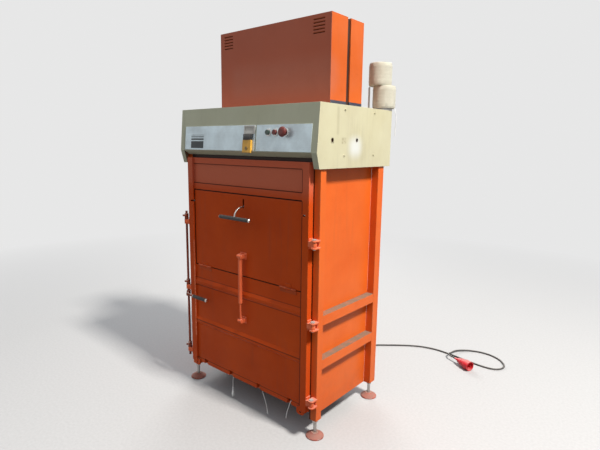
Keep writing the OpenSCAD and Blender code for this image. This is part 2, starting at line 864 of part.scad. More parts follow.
// Pull lug with a round end below each stile
module stile_lug() {
    x = stile_in + 4;
    difference() {
        union() {
            box([x - 30, door_front + 6, door_low - lug_drop + 20], [x + 30, door_front + 14, door_low + 20]);
            box([x - 10, door_front + 6, door_low - lug_drop], [x + 10, door_front + 14, door_low + 20]);
            for (s = [-1, 1]) rod_y([x + s * 10, door_front + 6, door_low - lug_drop + 20], 40, 8);
        }
        rod_y([x, door_front, door_low - lug_drop + 18], 12, 20);
    }
}

module door_frame() {
    color(orange) {
        difference() {
            union() {
                both_sides() stile_tube();
                box([-stile_in, panel_y, door_low], [stile_in, door_back, lower_z]);
                box([-stile_in, panel_y, mid_rail_z], [stile_in, door_back, top_panel_z]);
                box([-stile_in, panel_y, top_rail_z], [stile_in, door_back, door_top]);
                box([-stile_in, panel_y + panel_t, hatch_z - 54], [stile_in, door_back, hatch_z - 6]);
            }
            for (x = strap_x) box([x - 18, panel_y - e, door_low - e], [x + 18, door_back + e, door_low + 35]);
            both_sides() box([stile_in - 32, door_front + 6, door_low - e], [stile_in + 38, door_front + 14, door_low + 20]);
        }
        both_sides() stile_lug();
    }
}

module door_top_panel() {
    y = panel_y + top_panel_sink;
    color(orange) box([-stile_in, y, top_panel_z], [stile_in, y + panel_t, top_rail_z]);
}

// Outline of the lower panel across its height as [y, z], with two swages that stand forwards
function swage(z) = [[0, z - swage_h / 2], [-swage_out, z - swage_h / 2 + 14], [-swage_out, z + swage_h / 2 - 24], [0, z + swage_h / 2]];

module door_lower_panel() {
    top = hatch_z - hatch_gap;
    face = concat([[0, lower_z]], swage(swage_low_z), swage(swage_high_z), [[0, top]]);
    outline = concat([for (p = face) [panel_y + p.x, p.y]], [for (i = [len(face) - 1:-1:0]) [panel_y + panel_t + face[i].x, face[i].y]]);
    color(orange) yz_prism(outline, -stile_in, stile_in);
}

// Ear plate with a round end at the origin that reaches back to the post face
module ear(len) {
    difference() {
        union() {
            cylinder(h = ear_t, d = ear_d);
            translate([-ear_d / 2, 0, 0]) cube([ear_d, len, ear_t]);
        }
        translate([0, 0, -e]) cylinder(h = ear_t + 2 * e, d = pin_d + 0.1);
    }
}

module hinge_brackets() {
    pad = 6;
    gap = eye_h / 2 + eye_gap;
    color("#d9744e") for (z = hinge_zs) translate([hinge_x, hinge_y, z]) union() {
        translate([0, 0, gap]) ear(hinge_out - 1);
        translate([0, 0, -gap - ear_t]) ear(hinge_out - 1);
        translate([-ear_d / 2, hinge_out - pad, -gap - ear_t]) cube([half_w - hinge_x + ear_d / 2, pad, 2 * (gap + ear_t)]);
    }
}

module hinge_pins() {
    gap = eye_h / 2 + eye_gap + ear_t;
    color(steel) for (z = hinge_zs) translate([hinge_x, hinge_y, z]) union() {
        translate([0, 0, -gap - 6]) cylinder(h = 2 * gap + 6, d = pin_d);
        translate([0, 0, gap]) cylinder(h = 6, d = pin_d + 10);
    }
}

// Eye with its arm and the plate that holds it on the side of the door
module door_eye() {
    arm_d = 18;
    difference() {
        union() {
            cylinder(h = eye_h, d = eye_d, center = true);
            translate([door_x - hinge_x, -arm_d / 2, -eye_h / 2]) cube([hinge_x - door_x, arm_d, eye_h]);
            translate([door_x - hinge_x, hinge_y_in_door, -eye_h / 2 - 14]) cube([6, door_t - 6, eye_h + 28]);
        }
        cylinder(h = eye_h + 2, d = pin_d + 2 * pin_clear, center = true);
    }
}

// Front edge of the eye plate, from the hinge axis
hinge_y_in_door = door_front + 3 - hinge_y;

module door_eyes() {
    color("#d9744e") for (z = hinge_zs) both_sides() translate([hinge_x, hinge_y, z]) door_eye();
}

claw_up = 46;
claw_t = 12;
claw_r = 33;

// Lock shaft with its three claws, and the lever's boss, elbow and rod
module lock_shaft() {
    low = hinge_zs[0] - 45;
    high = hinge_zs[2] + 75;
    elbow = 38;
    color(steel) translate([-hinge_x, hinge_y, 0]) union() {
        translate([0, 0, low]) cylinder(h = high - low, d = pin_d);
        for (z = hinge_zs) translate([0, 0, z + claw_up]) {
            translate([0, 0, eye_h / 2 + 0.3 - claw_up]) cylinder(h = claw_up + claw_t / 2 - eye_h / 2 + 3, d = pin_d + 12);
            rotate([0, 0, -60]) translate([0, 0, -claw_t / 2]) linear_extrude(claw_t) polygon([
                [0, -6], [claw_r - 10, -6], [claw_r - 10, -15], [claw_r, -15], [claw_r, 6], [0, 6]]);
        }
        translate([0, 0, lever_z - 14]) cylinder(h = 28, d = pin_d + 14);
        translate([0, 0, lever_z]) rotate([0, 90, -45]) cylinder(h = elbow * sqrt(2), d = 14);
        translate([elbow, -elbow, lever_z - 9]) cylinder(h = 18, d = 18);
        translate([elbow, -elbow, lever_z]) rotate([0, 90, 0]) cylinder(h = lever_len, d = 14);
    }
}

module lock_grip() {
    elbow = 38;
    len = 0.66 * lever_len;
    color(dark) difference() {
        rod_x([-hinge_x + elbow + lever_len - len - 3, hinge_y - elbow, lever_z], grip_d, len);
        rod_x([-hinge_x + elbow + lever_len - len - 4, hinge_y - elbow, lever_z], 14.2, len + 2);
    }
}

// Brackets with upright pins on the left post, beside the claws
module lock_keepers() {
    dx = 22;
    pin = 10;
    half = 17;
    ear_y = 20;
    color("#d9744e") for (z = hinge_zs) translate([-hinge_x + dx, front_y - ear_y, z + claw_up]) union() {
        for (s = [-half - 6, half]) translate([0, 0, s]) {
            cylinder(h = 6, d = 18);
            translate([-9, 0, 0]) cube([18, ear_y, 6]);
        }
        translate([-9, ear_y - 5, -half - 6]) cube([18, 5, 2 * half + 12]);
        translate([0, 0, -half - 3]) cylinder(h = 2 * half + 6, d = pin);
    }
}

// Middle and outer knuckles of a hatch hinge
knuckle_gap = 0.5;
hinge_third = hatch_hinge_len / 3;
hinge_pin_d = 6;

// Hatch: front sheet, folded side and top edges, lever slot and its hinge leaves
module hatch_panel() {
    low = hatch_z + hatch_gap;
    high = mid_rail_z - hatch_gap;
    back = panel_y + panel_t + hatch_flange;
    color(orange) difference() {
        union() {
            box([-hatch_x, panel_y, low], [hatch_x, panel_y + panel_t, high]);
            both_sides() box([hatch_x - panel_t, panel_y, low + 20], [hatch_x, back, high]);
            box([-hatch_x, panel_y, high - panel_t], [hatch_x, back, high]);
            for (s = [-1, 1]) translate([s * hatch_hinge_x, 0, 0]) {
                rod_x([-hinge_third / 2 + knuckle_gap, hatch_axis_y, hatch_axis_z], knuckle_d, hinge_third - 2 * knuckle_gap);
                box([-hinge_third / 2 + knuckle_gap, panel_y - 3, hatch_axis_z], [hinge_third / 2 - knuckle_gap, panel_y, low + 26]);
            }
        }
        for (s = [-1, 1]) rod_x([s * hatch_hinge_x - hinge_third, hatch_axis_y, hatch_axis_z], hinge_pin_d + 2 * pin_clear, 2 * hinge_third);
        rod_x([-hatch_x - e, latch_y, latch_z], latch_d + 2 * pin_clear, 2 * hatch_x + 2 * e);
        box([-lever_d / 2 - 1.5, panel_y - e, latch_z - lever_d / 2 - 2], [lever_d / 2 + 1.5, panel_y + panel_t + e, latch_z + 49]);
    }
}

// Fixed leaves, outer knuckles and pins of the hatch hinges, on the lower panel
module hatch_hinges() {
    top = hatch_z - hatch_gap;
    color(steel) for (s = [-1, 1]) translate([s * hatch_hinge_x, 0, 0]) union() {
        for (x = [-1.5 * hinge_third, 0.5 * hinge_third]) {
            rod_x([x, hatch_axis_y, hatch_axis_z], knuckle_d, hinge_third);
            box([x, panel_y - 3, top - 24], [x + hinge_third, panel_y, hatch_axis_z]);
        }
        box([-1.5 * hinge_third, panel_y - 3, top - 24], [1.5 * hinge_third, panel_y, top - 6]);
        rod_x([-1.5 * hinge_third, hatch_axis_y, hatch_axis_z], hinge_pin_d, 3 * hinge_third);
    }
}

// Cross shaft on the back of the hatch, with flat blades that lie in the keyholes of the stiles
module latch_shaft() {
    tip = stile_in + blade_len;
    color(steel) difference() {
        rod_x([-tip, latch_y, latch_z], latch_d, 2 * tip);
        both_sides() for (s = [-1, 1]) translate([hatch_x + 1, latch_y - latch_d, latch_z + (s > 0 ? blade_t / 2 : -blade_t / 2 - latch_d)])
            cube([tip, 2 * latch_d, latch_d]);
        rod_y([0, latch_y - latch_d, latch_z], lever_d + 0.1, 2 * latch_d);
    }
}

// Bent lever rod with the cross bar of its grip
module latch_lever() {
    end_y = latch_y - latch_straight - lever_bend;
    end_z = latch_z - lever_bend;
    color(steel) union() {
        rod_y([0, latch_y - latch_straight, latch_z], lever_d, latch_straight + latch_d / 2 - 1);
        translate([0, latch_y - latch_straight, end_z]) rotate([180, -90, 0])
            rotate_extrude(angle = 90) translate([lever_bend, 0]) circle(d = lever_d);
        rod_x([-grip_len / 2 - 3, end_y, end_z], grip_d - 2 * grip_wall, grip_len + 6);
    }
}

module latch_grip() {
    end_y = latch_y - latch_straight - lever_bend;
    end_z = latch_z - lever_bend;
    color(dark) difference() {
        rod_x([-grip_len / 2, end_y, end_z], grip_d, grip_len);
        rod_x([-grip_len / 2 - e, end_y, end_z], grip_d - 2 * grip_wall + 0.2, grip_len + 2 * e);
        translate([0, end_y + 1, end_z]) cylinder(h = grip_d, d = lever_d + 2.6);
    }
}

// Two ears on a foot plate that hold a stay pivot, with the pin; inside is the gap between the ears
module stay_bracket(inside) {
    ear_w = 5;
    ear_r = 14;
    for (s = [-1, 1]) translate([s * (inside + ear_w) / 2 - ear_w / 2, 0, 0]) {
        rotate([0, 90, 0]) cylinder(h = ear_w, r = ear_r);
        translate([0, 0, -ear_r]) cube([ear_w, stay_out, 2 * ear_r]);
    }
    translate([-inside / 2 - 14, stay_out - 4, -ear_r - 8]) cube([inside + 28, 4, 2 * ear_r + 16]);
    translate([-inside / 2 - ear_w - 3, 0, 0]) rotate([0, 90, 0]) cylinder(h = inside + 2 * ear_w + 6, d = stay_pin_d);
}

stay_top = [stay_x, stay_y, hatch_axis_z + stay_up];
stay_low = [stay_x, stay_y, hatch_axis_z - stay_down];
rod_eye_w = 20;

module hatch_bracket() {
    color("#e0704a") translate(stay_top) stay_bracket(stay_d + 1);
}

module door_bracket() {
    color("#e0704a") translate(stay_low) stay_bracket(rod_eye_w + 1);
}

module stay_tube() {
    color("#ea7a52") translate(stay_top) difference() {
        union() {
            translate([-stay_d / 2, 0, 0]) rotate([0, 90, 0]) cylinder(h = stay_d, d = stay_d);
            translate([0, 0, -stay_tube_len]) cylinder(h = stay_tube_len, d = stay_d);
        }
        translate([0, 0, -stay_tube_len - e]) cylinder(h = stay_tube_len - 25 + e, d = stay_rod_d + 2 * stay_clear);
        translate([-stay_d, 0, 0]) rotate([0, 90, 0]) cylinder(h = 2 * stay_d, d = stay_pin_d + 2 * pin_clear);
    }
}

module stay_rod() {
    color("#ea7a52") translate(stay_low) difference() {
        union() {
            translate([-rod_eye_w / 2, 0, 0]) rotate([0, 90, 0]) cylinder(h = rod_eye_w, d = stay_d - 2);
            cylinder(h = stay_rod_len, d = stay_rod_d);
        }
        translate([-stay_d, 0, 0]) rotate([0, 90, 0]) cylinder(h = 2 * stay_d, d = stay_pin_d + 2 * pin_clear);
    }
}

// Plate on the head, round tray under the spools, spindle and side rod
module spool_stand() {
    color("#8f9396") union() {
        box([face_x - 100, head_back_y - 110, head_top], [cap_x - 4, head_back_y - 4, head_top + 3]);
        translate([spool_x, spool_y, head_top]) cylinder(h = spool_z - head_top - 0.3, d = spool_d - 40);
        translate([spool_x, spool_y, head_top]) cylinder(h = spool_z - head_top + spool_h - 8, d = 24);
        translate([spool_x - 73, head_back_y - 78, head_top]) cylinder(h = 150, d = 12);
    }
}

module spool() {
    core = 40;
    edge = 5;
    rotate_extrude() polygon([[core / 2, 0], [spool_d / 2 - edge, 0], [spool_d / 2, edge], [spool_d / 2, spool_h - edge],
        [spool_d / 2 - edge, spool_h], [core / 2, spool_h]]);
}

module twine_spools() {
    color("#ebe9de") {
        translate([spool_x, spool_y, spool_z]) spool();
        translate([spool_x - 23, spool_y - 18, spool_z + spool_h + 0.3]) spool();
    }
}

// Point of a smooth curve through p at the share t of segment i
function curve(p, i, t) = let (a = p[max(i - 1, 0)], b = p[i], c = p[i + 1], d = p[min(i + 2, len(p) - 1)])
    0.5 * (2 * b + (c - a) * t + (2 * a - 5 * b + 4 * c - d) * t * t + (3 * b - a - 3 * c + d) * t * t * t);
function curve_points(p, steps) = concat([for (i = [0:len(p) - 2], s = [0:steps - 1]) curve(p, i, s / steps)], [p[len(p) - 1]]);
function unit(v) = v / norm(v);
function side_of(t) = abs(t.z) < 0.9 ? unit(cross(t, [0, 0, 1])) : unit(cross(t, [0, 1, 0]));
// Side direction of each ring, carried along the curve so that the tube doesn't twist
function carry(q, i, s) = let (t = unit(q[min(i + 1, len(q) - 1)] - q[max(i - 1, 0)]), n = unit(s - (s * t) * t))
    i == len(q) - 1 ? [n] : concat([n], carry(q, i + 1, n));

// Tube of n sides along the points q, whose end faces look along ends where these are given
module sweep(q, d, n, ends = []) {
    last = len(q) - 1;
    sides = carry(q, 0, side_of(unit(q[1] - q[0])));
    rings = [for (i = [0:last]) let (
            t = len(ends) > 0 && i == 0 ? ends[0] : len(ends) > 0 && i == last ? ends[1]
                : unit(q[min(i + 1, last)] - q[max(i - 1, 0)]),
            s = unit(sides[i] - (sides[i] * t) * t), u = cross(t, s))
        for (k = [0:n - 1]) q[i] + d / 2 * (cos(360 * k / n) * s + sin(360 * k / n) * u)];
    polyhedron(rings, concat([[for (k = [0:n - 1]) k]],
        [for (i = [0:last - 1], k = [0:n - 1]) [i * n + k, (i + 1) * n + k, (i + 1) * n + (k + 1) % n, i * n + (k + 1) % n]],
        [[for (k = [n - 1:-1:0]) last * n + k]]));
}

module twine_end_spool() {
    color("#ebe9de") sweep(twine_spool_points, twine_d, 8);
}

module twine_end_left() {
    color("#ebe9de") sweep(twine_left_points, twine_d, 8);
}

module twine_end_middle() {
    color("#ebe9de") sweep(twine_middle_points, twine_d, 8);
}

module twine_end_right() {
    color("#ebe9de") sweep(twine_right_points, twine_d, 8);
}

// Gland in the lip of the rear head sheet, with a tapered strain relief below it
module cord_gland() {
    color(dark) translate([gland_at.x, gland_at.y, 0]) union() {
        translate([0, 0, head_low - 4]) cylinder(h = 22, d = 24.6);
        translate([0, 0, head_low - 16]) cylinder(h = 16, d = 36, $fn = 6);
        translate([0, 0, head_low + head_t]) cylinder(h = 7, d = 34, $fn = 6);
        translate([0, 0, gland_low]) cylinder(h = head_low - 16 - gland_low, d1 = cord_d + 3, d2 = 28);
    }
}

module power_cord() {
    color(dark) sweep(curve_points(lead_points, 2), cord_d, 8, [[0, 0, -1], [cos(plug_turn), sin(plug_turn), 0]]);
}

plug_turn = -24;
plug_len = 162;

// Heavy round mains plug that lies on the floor, with its tapered sleeve towards the cord
module power_plug() {
    color("#c01818") translate(lead_end) rotate([0, 90, plug_turn]) union() {
        rotate_extrude() polygon([[0, 0], [cord_d / 2 + 1, 0], [12, 34], [18, 36], [20, 52], [24, 54], [29, 76], [30, 106],
            [35, 109], [plug_r, 114], [plug_r, plug_len], [plug_r - 3.5, plug_len], [plug_r - 3.5, 124], [0, 124]]);
        for (a = [0:72:288]) rotate([0, 0, a]) translate([19, 0, 123]) cylinder(h = 30, d = a == 0 ? 8 : 6);
    }
}

corner_posts();
side_panels();
rear_panel();
wall_ribs();
floor_sills();
floor_plate();
top_ring();
crosshead();
head_front();
head_cap_left();
head_cap_right();
head_top();
head_rear();
control_plates();
switch_bezel();
switch_body();
lock_block();
lock_core();
button_collars();
start_button();
stop_button();
stop_mushroom();
cover_mast();
cover_seals();
front_cover();
rear_cover();
cylinder_barrel();
ram();
oil_tank();
pump_motor();
platen();
foot_studs();
foot_pads();
door_frame();
door_top_panel();
door_lower_panel();
hinge_brackets();
hinge_pins();
door_eyes();
lock_shaft();
lock_grip();
lock_keepers();
hatch_panel();
hatch_hinges();
latch_shaft();
latch_lever();
latch_grip();
stay_tube();
stay_rod();
hatch_bracket();
door_bracket();
spool_stand();
twine_spools();
twine_end_spool();
twine_end_left();
twine_end_middle();
twine_end_right();
cord_gland();
power_cord();
power_plug();
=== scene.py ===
"""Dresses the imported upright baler: painted sheet metal, controls, twine, lead and studio."""

import logging
import math
from dataclasses import dataclass
from enum import Enum

import bmesh
import bpy
from mathutils import Matrix, Vector


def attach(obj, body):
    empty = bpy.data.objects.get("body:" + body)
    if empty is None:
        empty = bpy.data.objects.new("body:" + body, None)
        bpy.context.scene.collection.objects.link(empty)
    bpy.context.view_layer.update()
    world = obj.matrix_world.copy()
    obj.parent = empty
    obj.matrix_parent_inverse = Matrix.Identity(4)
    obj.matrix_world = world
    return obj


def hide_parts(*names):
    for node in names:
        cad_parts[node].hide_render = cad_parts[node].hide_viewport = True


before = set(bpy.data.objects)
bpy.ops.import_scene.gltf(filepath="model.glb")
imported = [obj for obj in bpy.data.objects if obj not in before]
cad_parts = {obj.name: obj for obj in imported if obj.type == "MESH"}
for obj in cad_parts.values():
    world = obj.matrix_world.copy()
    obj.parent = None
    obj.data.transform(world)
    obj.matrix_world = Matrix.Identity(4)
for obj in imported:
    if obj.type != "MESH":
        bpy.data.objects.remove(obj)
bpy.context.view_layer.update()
LOG = logging.getLogger("baler")

Point = tuple[float, float, float]
Colour = tuple[float, float, float]
Socket = bpy.types.NodeSocket
NodeTree = bpy.types.NodeTree
Object = bpy.types.Object
BMesh = bmesh.types.BMesh
Value = Socket | float | tuple[float, ...]

# Front faces of the posts and of the door's panels, the knee in the front of the head, and the slope above it
FRONT = -0.340
PANEL = FRONT - 0.027
KNEE_Y, KNEE_Z = FRONT - 0.053, 1.708
FACE_TILT = math.atan2(0.023, 0.270)

ORIGIN = (0.0, 0.0, 0.0)
BACKDROP = (0.80, 0.80, 0.80)
DULLING = 0.4  # how much rougher a surface is under dust, dirt or rust


class Slot(Enum):
    """Material slots of the record, passed along with some new pieces."""

    ORANGE = "orange_paint"
    BRACKET = "orange_bracket"
    CREAM = "cream_paint"
    PLATE = "plate_metal"
    DARK = "dark_plastic"
    STEEL = "bright_steel"
    MAST = "mast_paint"
    TWINE = "spool_twine"
    LEAD = "black_rubber"
    PAD = "pad_paint"
    YELLOW = "yellow_plastic"


def srgb(red: int, green: int, blue: int) -> Colour:
    """Turns an 8-bit display colour into the linear colour that a shader takes."""
    return tuple((c / 255 / 12.92) if c <= 10 else ((c / 255 + 0.055) / 1.055) ** 2.4 for c in (red, green, blue))


class Tree:
    """Short calls for building one shader or geometry tree."""

    def __init__(self, tree: NodeTree) -> None:
        """Wraps the node tree that nodes are added to."""
        self.tree = tree

    @staticmethod
    def emptied(owner: bpy.types.Material | bpy.types.World) -> NodeTree:
        """Turns on the nodes of a material or world and clears them."""
        owner.use_nodes = True
        owner.node_tree.nodes.clear()
        return owner.node_tree

    def set(self, socket: Socket, value: Value) -> None:
        """Links another socket to an input, or writes a plain value on it."""
        if isinstance(value, Socket):
            self.tree.links.new(value, socket)
        elif socket.type == "RGBA" and len(value) == 3:
            socket.default_value = (*value, 1.0)
        else:
            socket.default_value = value

    def node(self, kind: str, inputs: dict[str | int, Value] | None = None, **settings: object) -> bpy.types.Node:
        """Adds a node.

        Args:
            kind: The node's type name.
            inputs: Values or sockets by input name or number.
            settings: Properties of the node.

        Returns:
            The new node.
        """
        made = self.tree.nodes.new(kind)
        for name, value in settings.items():
            setattr(made, name, value)
        for key, value in (inputs or {}).items():
            self.set(made.inputs[key], value)
        return made

    def out(self, kind: str, inputs: dict[str | int, Value] | None = None, **settings: object) -> Socket:
        """Adds a node and returns its first output."""
        return self.node(kind, inputs, **settings).outputs[0]

    def math(self, operation: str, first: Value, second: Value = 0.5, clamp: bool = False) -> Socket:
        """Adds a math node and returns its result."""
        return self.out("ShaderNodeMath", {0: first, 1: second}, operation=operation, use_clamp=clamp)

    def times(self, first: Value, *others: Value) -> Value:
        """Multiplies values and returns the product."""
        for other in others:
            first = self.math("MULTIPLY", first, other)
        return first

    def vector(self, operation: str, first: Value, second: Value = ORIGIN) -> Socket:
        """Adds a vector math node and returns its vector."""
        return self.out("ShaderNodeVectorMath", {0: first, 1: second}, operation=operation)

    def length(self, vector: Socket) -> Socket:
        """Returns the length of a vector."""
        return self.node("ShaderNodeVectorMath", {0: vector}, operation="LENGTH").outputs["Value"]

    def axis(self, vector: Socket, number: int) -> Socket:
        """Returns a vector's part along X (0), Y (1) or Z (2)."""
        return self.node("ShaderNodeSeparateXYZ", {0: vector}).outputs[number]

    def coords(self, kind: str = "Object") -> Socket:
        """Returns texture coordinates of one kind."""
        return self.node("ShaderNodeTexCoord").outputs[kind]

    def blend(self, share: Value, first: Value, second: Value) -> Socket:
        """Mixes two colours by a share and returns the colour."""
        return self.node("ShaderNodeMix", {0: share, 6: first, 7: second}, data_type="RGBA").outputs[2]

    def span(self, value: Value, low: Value, high: Value, out_low: Value = 0.0, out_high: Value = 1.0) -> Socket:
        """Maps a value from low..high to out_low..out_high, clamped."""
        return self.out("ShaderNodeMapRange", {
            "Value": value, "From Min": low, "From Max": high, "To Min": out_low, "To Max": out_high})

    def noise(self, scale: Value, detail: float, rough: float = 0.55, stretch: Point | None = None) -> Socket:
        """Adds a noise texture in object coordinates, which may be scaled along each axis, and returns its value."""
        place = self.coords()
        if stretch is not None:
            place = self.out("ShaderNodeMapping", {"Vector": place, "Scale": stretch})
        return self.out("ShaderNodeTexNoise", {
            "Vector": place, "Scale": scale, "Detail": detail, "Roughness": rough})

    def use(self, group: NodeTree, **values: Value) -> bpy.types.NodeOutputs:
        """Places a node group, with underscores for spaces in the names of its inputs, and returns its outputs."""
        inputs = {key.replace("_", " "): value for key, value in values.items()}
        return self.node("ShaderNodeGroup", inputs, node_tree=group).outputs


class Surface(Tree):
    """The tree of one material, with its Principled shader."""

    def __init__(self, material: bpy.types.Material) -> None:
        """Clears the material's tree and gives it a shader and an output."""
        super().__init__(self.emptied(material))
        self.shader = self.node("ShaderNodeBsdfPrincipled")
        self.node("ShaderNodeOutputMaterial", {0: self.shader.outputs[0]})

    def give(self, **values: Value) -> None:
        """Sets inputs of the shader, with underscores for spaces in their names."""
        for key, value in values.items():
            self.set(self.shader.inputs[key.replace("_", " ")], value)

    def lay(self, colour: Value, *covers: tuple[Value, Colour]) -> None:
        """Lays covers over a colour, each by its mask, from the lowest to the highest."""
        for mask, shade in covers:
            colour = self.blend(mask, colour, shade)
        self.give(Base_Color=colour)

    def dull(self, rough: Value, cover: Socket) -> None:
        """Sets the roughness, which rises where something covers the surface."""
        self.give(Roughness=self.math("ADD", rough, self.times(cover, DULLING), True))

    def relief(self, height: Socket, strength: float, distance: float) -> None:
        """Feeds a height through a Bump node into the shader's normal."""
        bump = {"Height": height, "Strength": strength, "Distance": distance}
        self.give(Normal=self.out("ShaderNodeBump", bump))


class Group(Tree):
    """A shader node group with named inputs and outputs, built once."""

    def __init__(self, name: str, inputs: dict[str, float | Point], outputs: tuple[str, ...] = ("Mask",)) -> None:
        """Makes the empty group.

        Args:
            name: The group's name.
            inputs: Number and vector inputs with their defaults.
            outputs: Names of the number outputs.
        """
        super().__init__(bpy.data.node_groups.new(name, "ShaderNodeTree"))
        sockets = self.tree.interface
        for key, value in inputs.items():
            kind = "NodeSocketVector" if isinstance(value, tuple) else "NodeSocketFloat"
            sockets.new_socket(key, in_out="INPUT", socket_type=kind).default_value = value
        for key in outputs:
            sockets.new_socket(key, in_out="OUTPUT", socket_type="NodeSocketFloat")
        self.given = self.node("NodeGroupInput").outputs

    def close(self, **results: Socket) -> NodeTree:
        """Links each result to the output of its name and returns the group."""
        self.node("NodeGroupOutput", results)
        return self.tree


def make_grain() -> NodeTree:
    """Builds the group for the fine texture of sprayed paint and its slow change of shade."""
    tree = Group("paint grain", {"Grain Scale": 400.0, "Patch Scale": 2.5}, ("Height", "Patches"))
    fine = tree.noise(tree.given["Grain Scale"], 2.0)
    waves = tree.noise(6.0, 1.0)
    patches = tree.noise(tree.given["Patch Scale"], 5.0, 0.6)
    return tree.close(Height=tree.math("ADD", tree.times(fine, 0.10), waves),
                      Patches=tree.span(patches, 0.32, 0.68))


def make_wear() -> NodeTree:
    """Builds the group for paint that is rubbed off at edges and in scratches."""
    tree = Group("edge wear", {"Edges": 0.5, "Scratches": 0.3})
    edge = tree.node("ShaderNodeAttribute", attribute_name="edge").outputs["Fac"]
    chips = tree.span(tree.noise(45.0, 6.0, 0.7), 0.50, 0.58)
    lines = tree.noise(1.6, 5.0, 0.65, (9.0, 9.0, 130.0))
    where = tree.span(tree.noise(3.0, 3.0), 0.50, 0.62)
    scratch = tree.times(tree.span(lines, 0.685, 0.73), where, tree.given["Scratches"])
    return tree.close(Mask=tree.math("MAXIMUM", tree.times(edge, chips, tree.given["Edges"]), scratch))


def make_dust() -> NodeTree:
    """Builds the group for dust on upward faces and a thin film elsewhere."""
    tree = Group("settled dust", {"Top": 0.8, "Film": 0.15})
    up = tree.axis(tree.node("ShaderNodeNewGeometry").outputs["Normal"], 2)
    cloud = tree.span(tree.noise(14.0, 5.0, 0.6), 0.30, 0.55, 0.78)
    top = tree.times(tree.span(up, 0.60, 0.95), cloud, tree.given["Top"])
    film = tree.span(tree.noise(3.2, 6.0, 0.62), 0.4, 0.75)
    return tree.close(Mask=tree.math("MAXIMUM", top, tree.times(film, tree.given["Film"]), True))


def make_grime() -> NodeTree:
    """Builds the group for vertical runs of dirt and a dirty zone near the floor."""
    tree = Group("grime runs", {"Runs": 0.3, "Low": 0.4})
    runs = tree.noise(26.0, 4.0, 0.6, (1.0, 1.0, 0.07))
    fade = tree.span(tree.noise(2.1, 3.0), 0.42, 0.66)
    runs = tree.times(tree.span(runs, 0.52, 0.72), fade, tree.given["Runs"])
    splashes = tree.span(tree.noise(18.0, 6.0, 0.65), 0.40, 0.62)
    low = tree.times(tree.span(tree.axis(tree.coords(), 2), 0.42, 0.10), splashes, tree.given["Low"])
    return tree.close(Mask=tree.math("MAXIMUM", runs, low, True))


def make_rust() -> NodeTree:
    """Builds the group for small spots and blooms of rust."""
    tree = Group("rust bloom", {"Spots": 0.3, "Scale": 60.0})
    spots = tree.span(tree.noise(tree.given["Scale"], 6.0, 0.75), 0.56, 0.66)
    where = tree.span(tree.noise(5.0, 3.0), 0.45, 0.65)
    return tree.close(Mask=tree.times(spots, where, tree.given["Spots"]))


def make_mark() -> NodeTree:
    """Builds the group for one mark on the paint, given as a soft box that may be ragged."""
    tree = Group("paint mark", {"Soft": 0.002, "Share": 0.9, "Ragged": 0.0, "Centre": ORIGIN, "Half": ORIGIN})
    given = tree.given
    away = tree.vector("ABSOLUTE", tree.vector("SUBTRACT", tree.coords(), given["Centre"]))
    outside = tree.vector("MAXIMUM", tree.vector("SUBTRACT", away, given["Half"]))
    rim = tree.out("ShaderNodeMapRange", {
        "Value": tree.length(outside), "From Min": given["Soft"], "From Max": 0.0}, interpolation_type="SMOOTHSTEP")
    worn = tree.span(tree.noise(70.0, 5.0, 0.65), 0.42, 0.60)
    gone = tree.times(tree.math("SUBTRACT", 1.0, worn), given["Ragged"])
    return tree.close(Mask=tree.times(rim, given["Share"], tree.math("SUBTRACT", 1.0, gone)))


GRAIN = make_grain()
WEAR = make_wear()
DUST = make_dust()
GRIME = make_grime()
RUST = make_rust()
MARK = make_mark()


class Finish:
    """A finish that makes its material once and hands it out."""

    name: str
    made: dict[str, bpy.types.Material] = {}

    def material(self) -> bpy.types.Material:
        """Returns the finish's material, built the first time."""
        if self.name not in Finish.made:
            Finish.made[self.name] = bpy.data.materials.new(self.name)
            self.build(Surface(Finish.made[self.name]))
        return Finish.made[self.name]

    def build(self, tree: Surface) -> None:
        """Fills the material's tree in a subclass."""
        raise NotImplementedError


@dataclass(frozen=True)
class Mark:
    """A mark on paint: a box in object space with a soft rim, its colour and its share."""

    low: Point
    high: Point
    soft: float = 0.002
    share: float = 0.9
    colour: Colour = (0.012, 0.008, 0.006)
    ragged: float = 0.0

    def mask(self, tree: Tree) -> Socket:
        """Places the mark's node group in a material and returns its mask."""
        centre = tuple((a + b) / 2 for a, b in zip(self.low, self.high))
        half = tuple((b - a) / 2 for a, b in zip(self.low, self.high))
        return tree.use(MARK, Centre=centre, Half=half, Soft=self.soft, Share=self.share, Ragged=self.ragged)["Mask"]


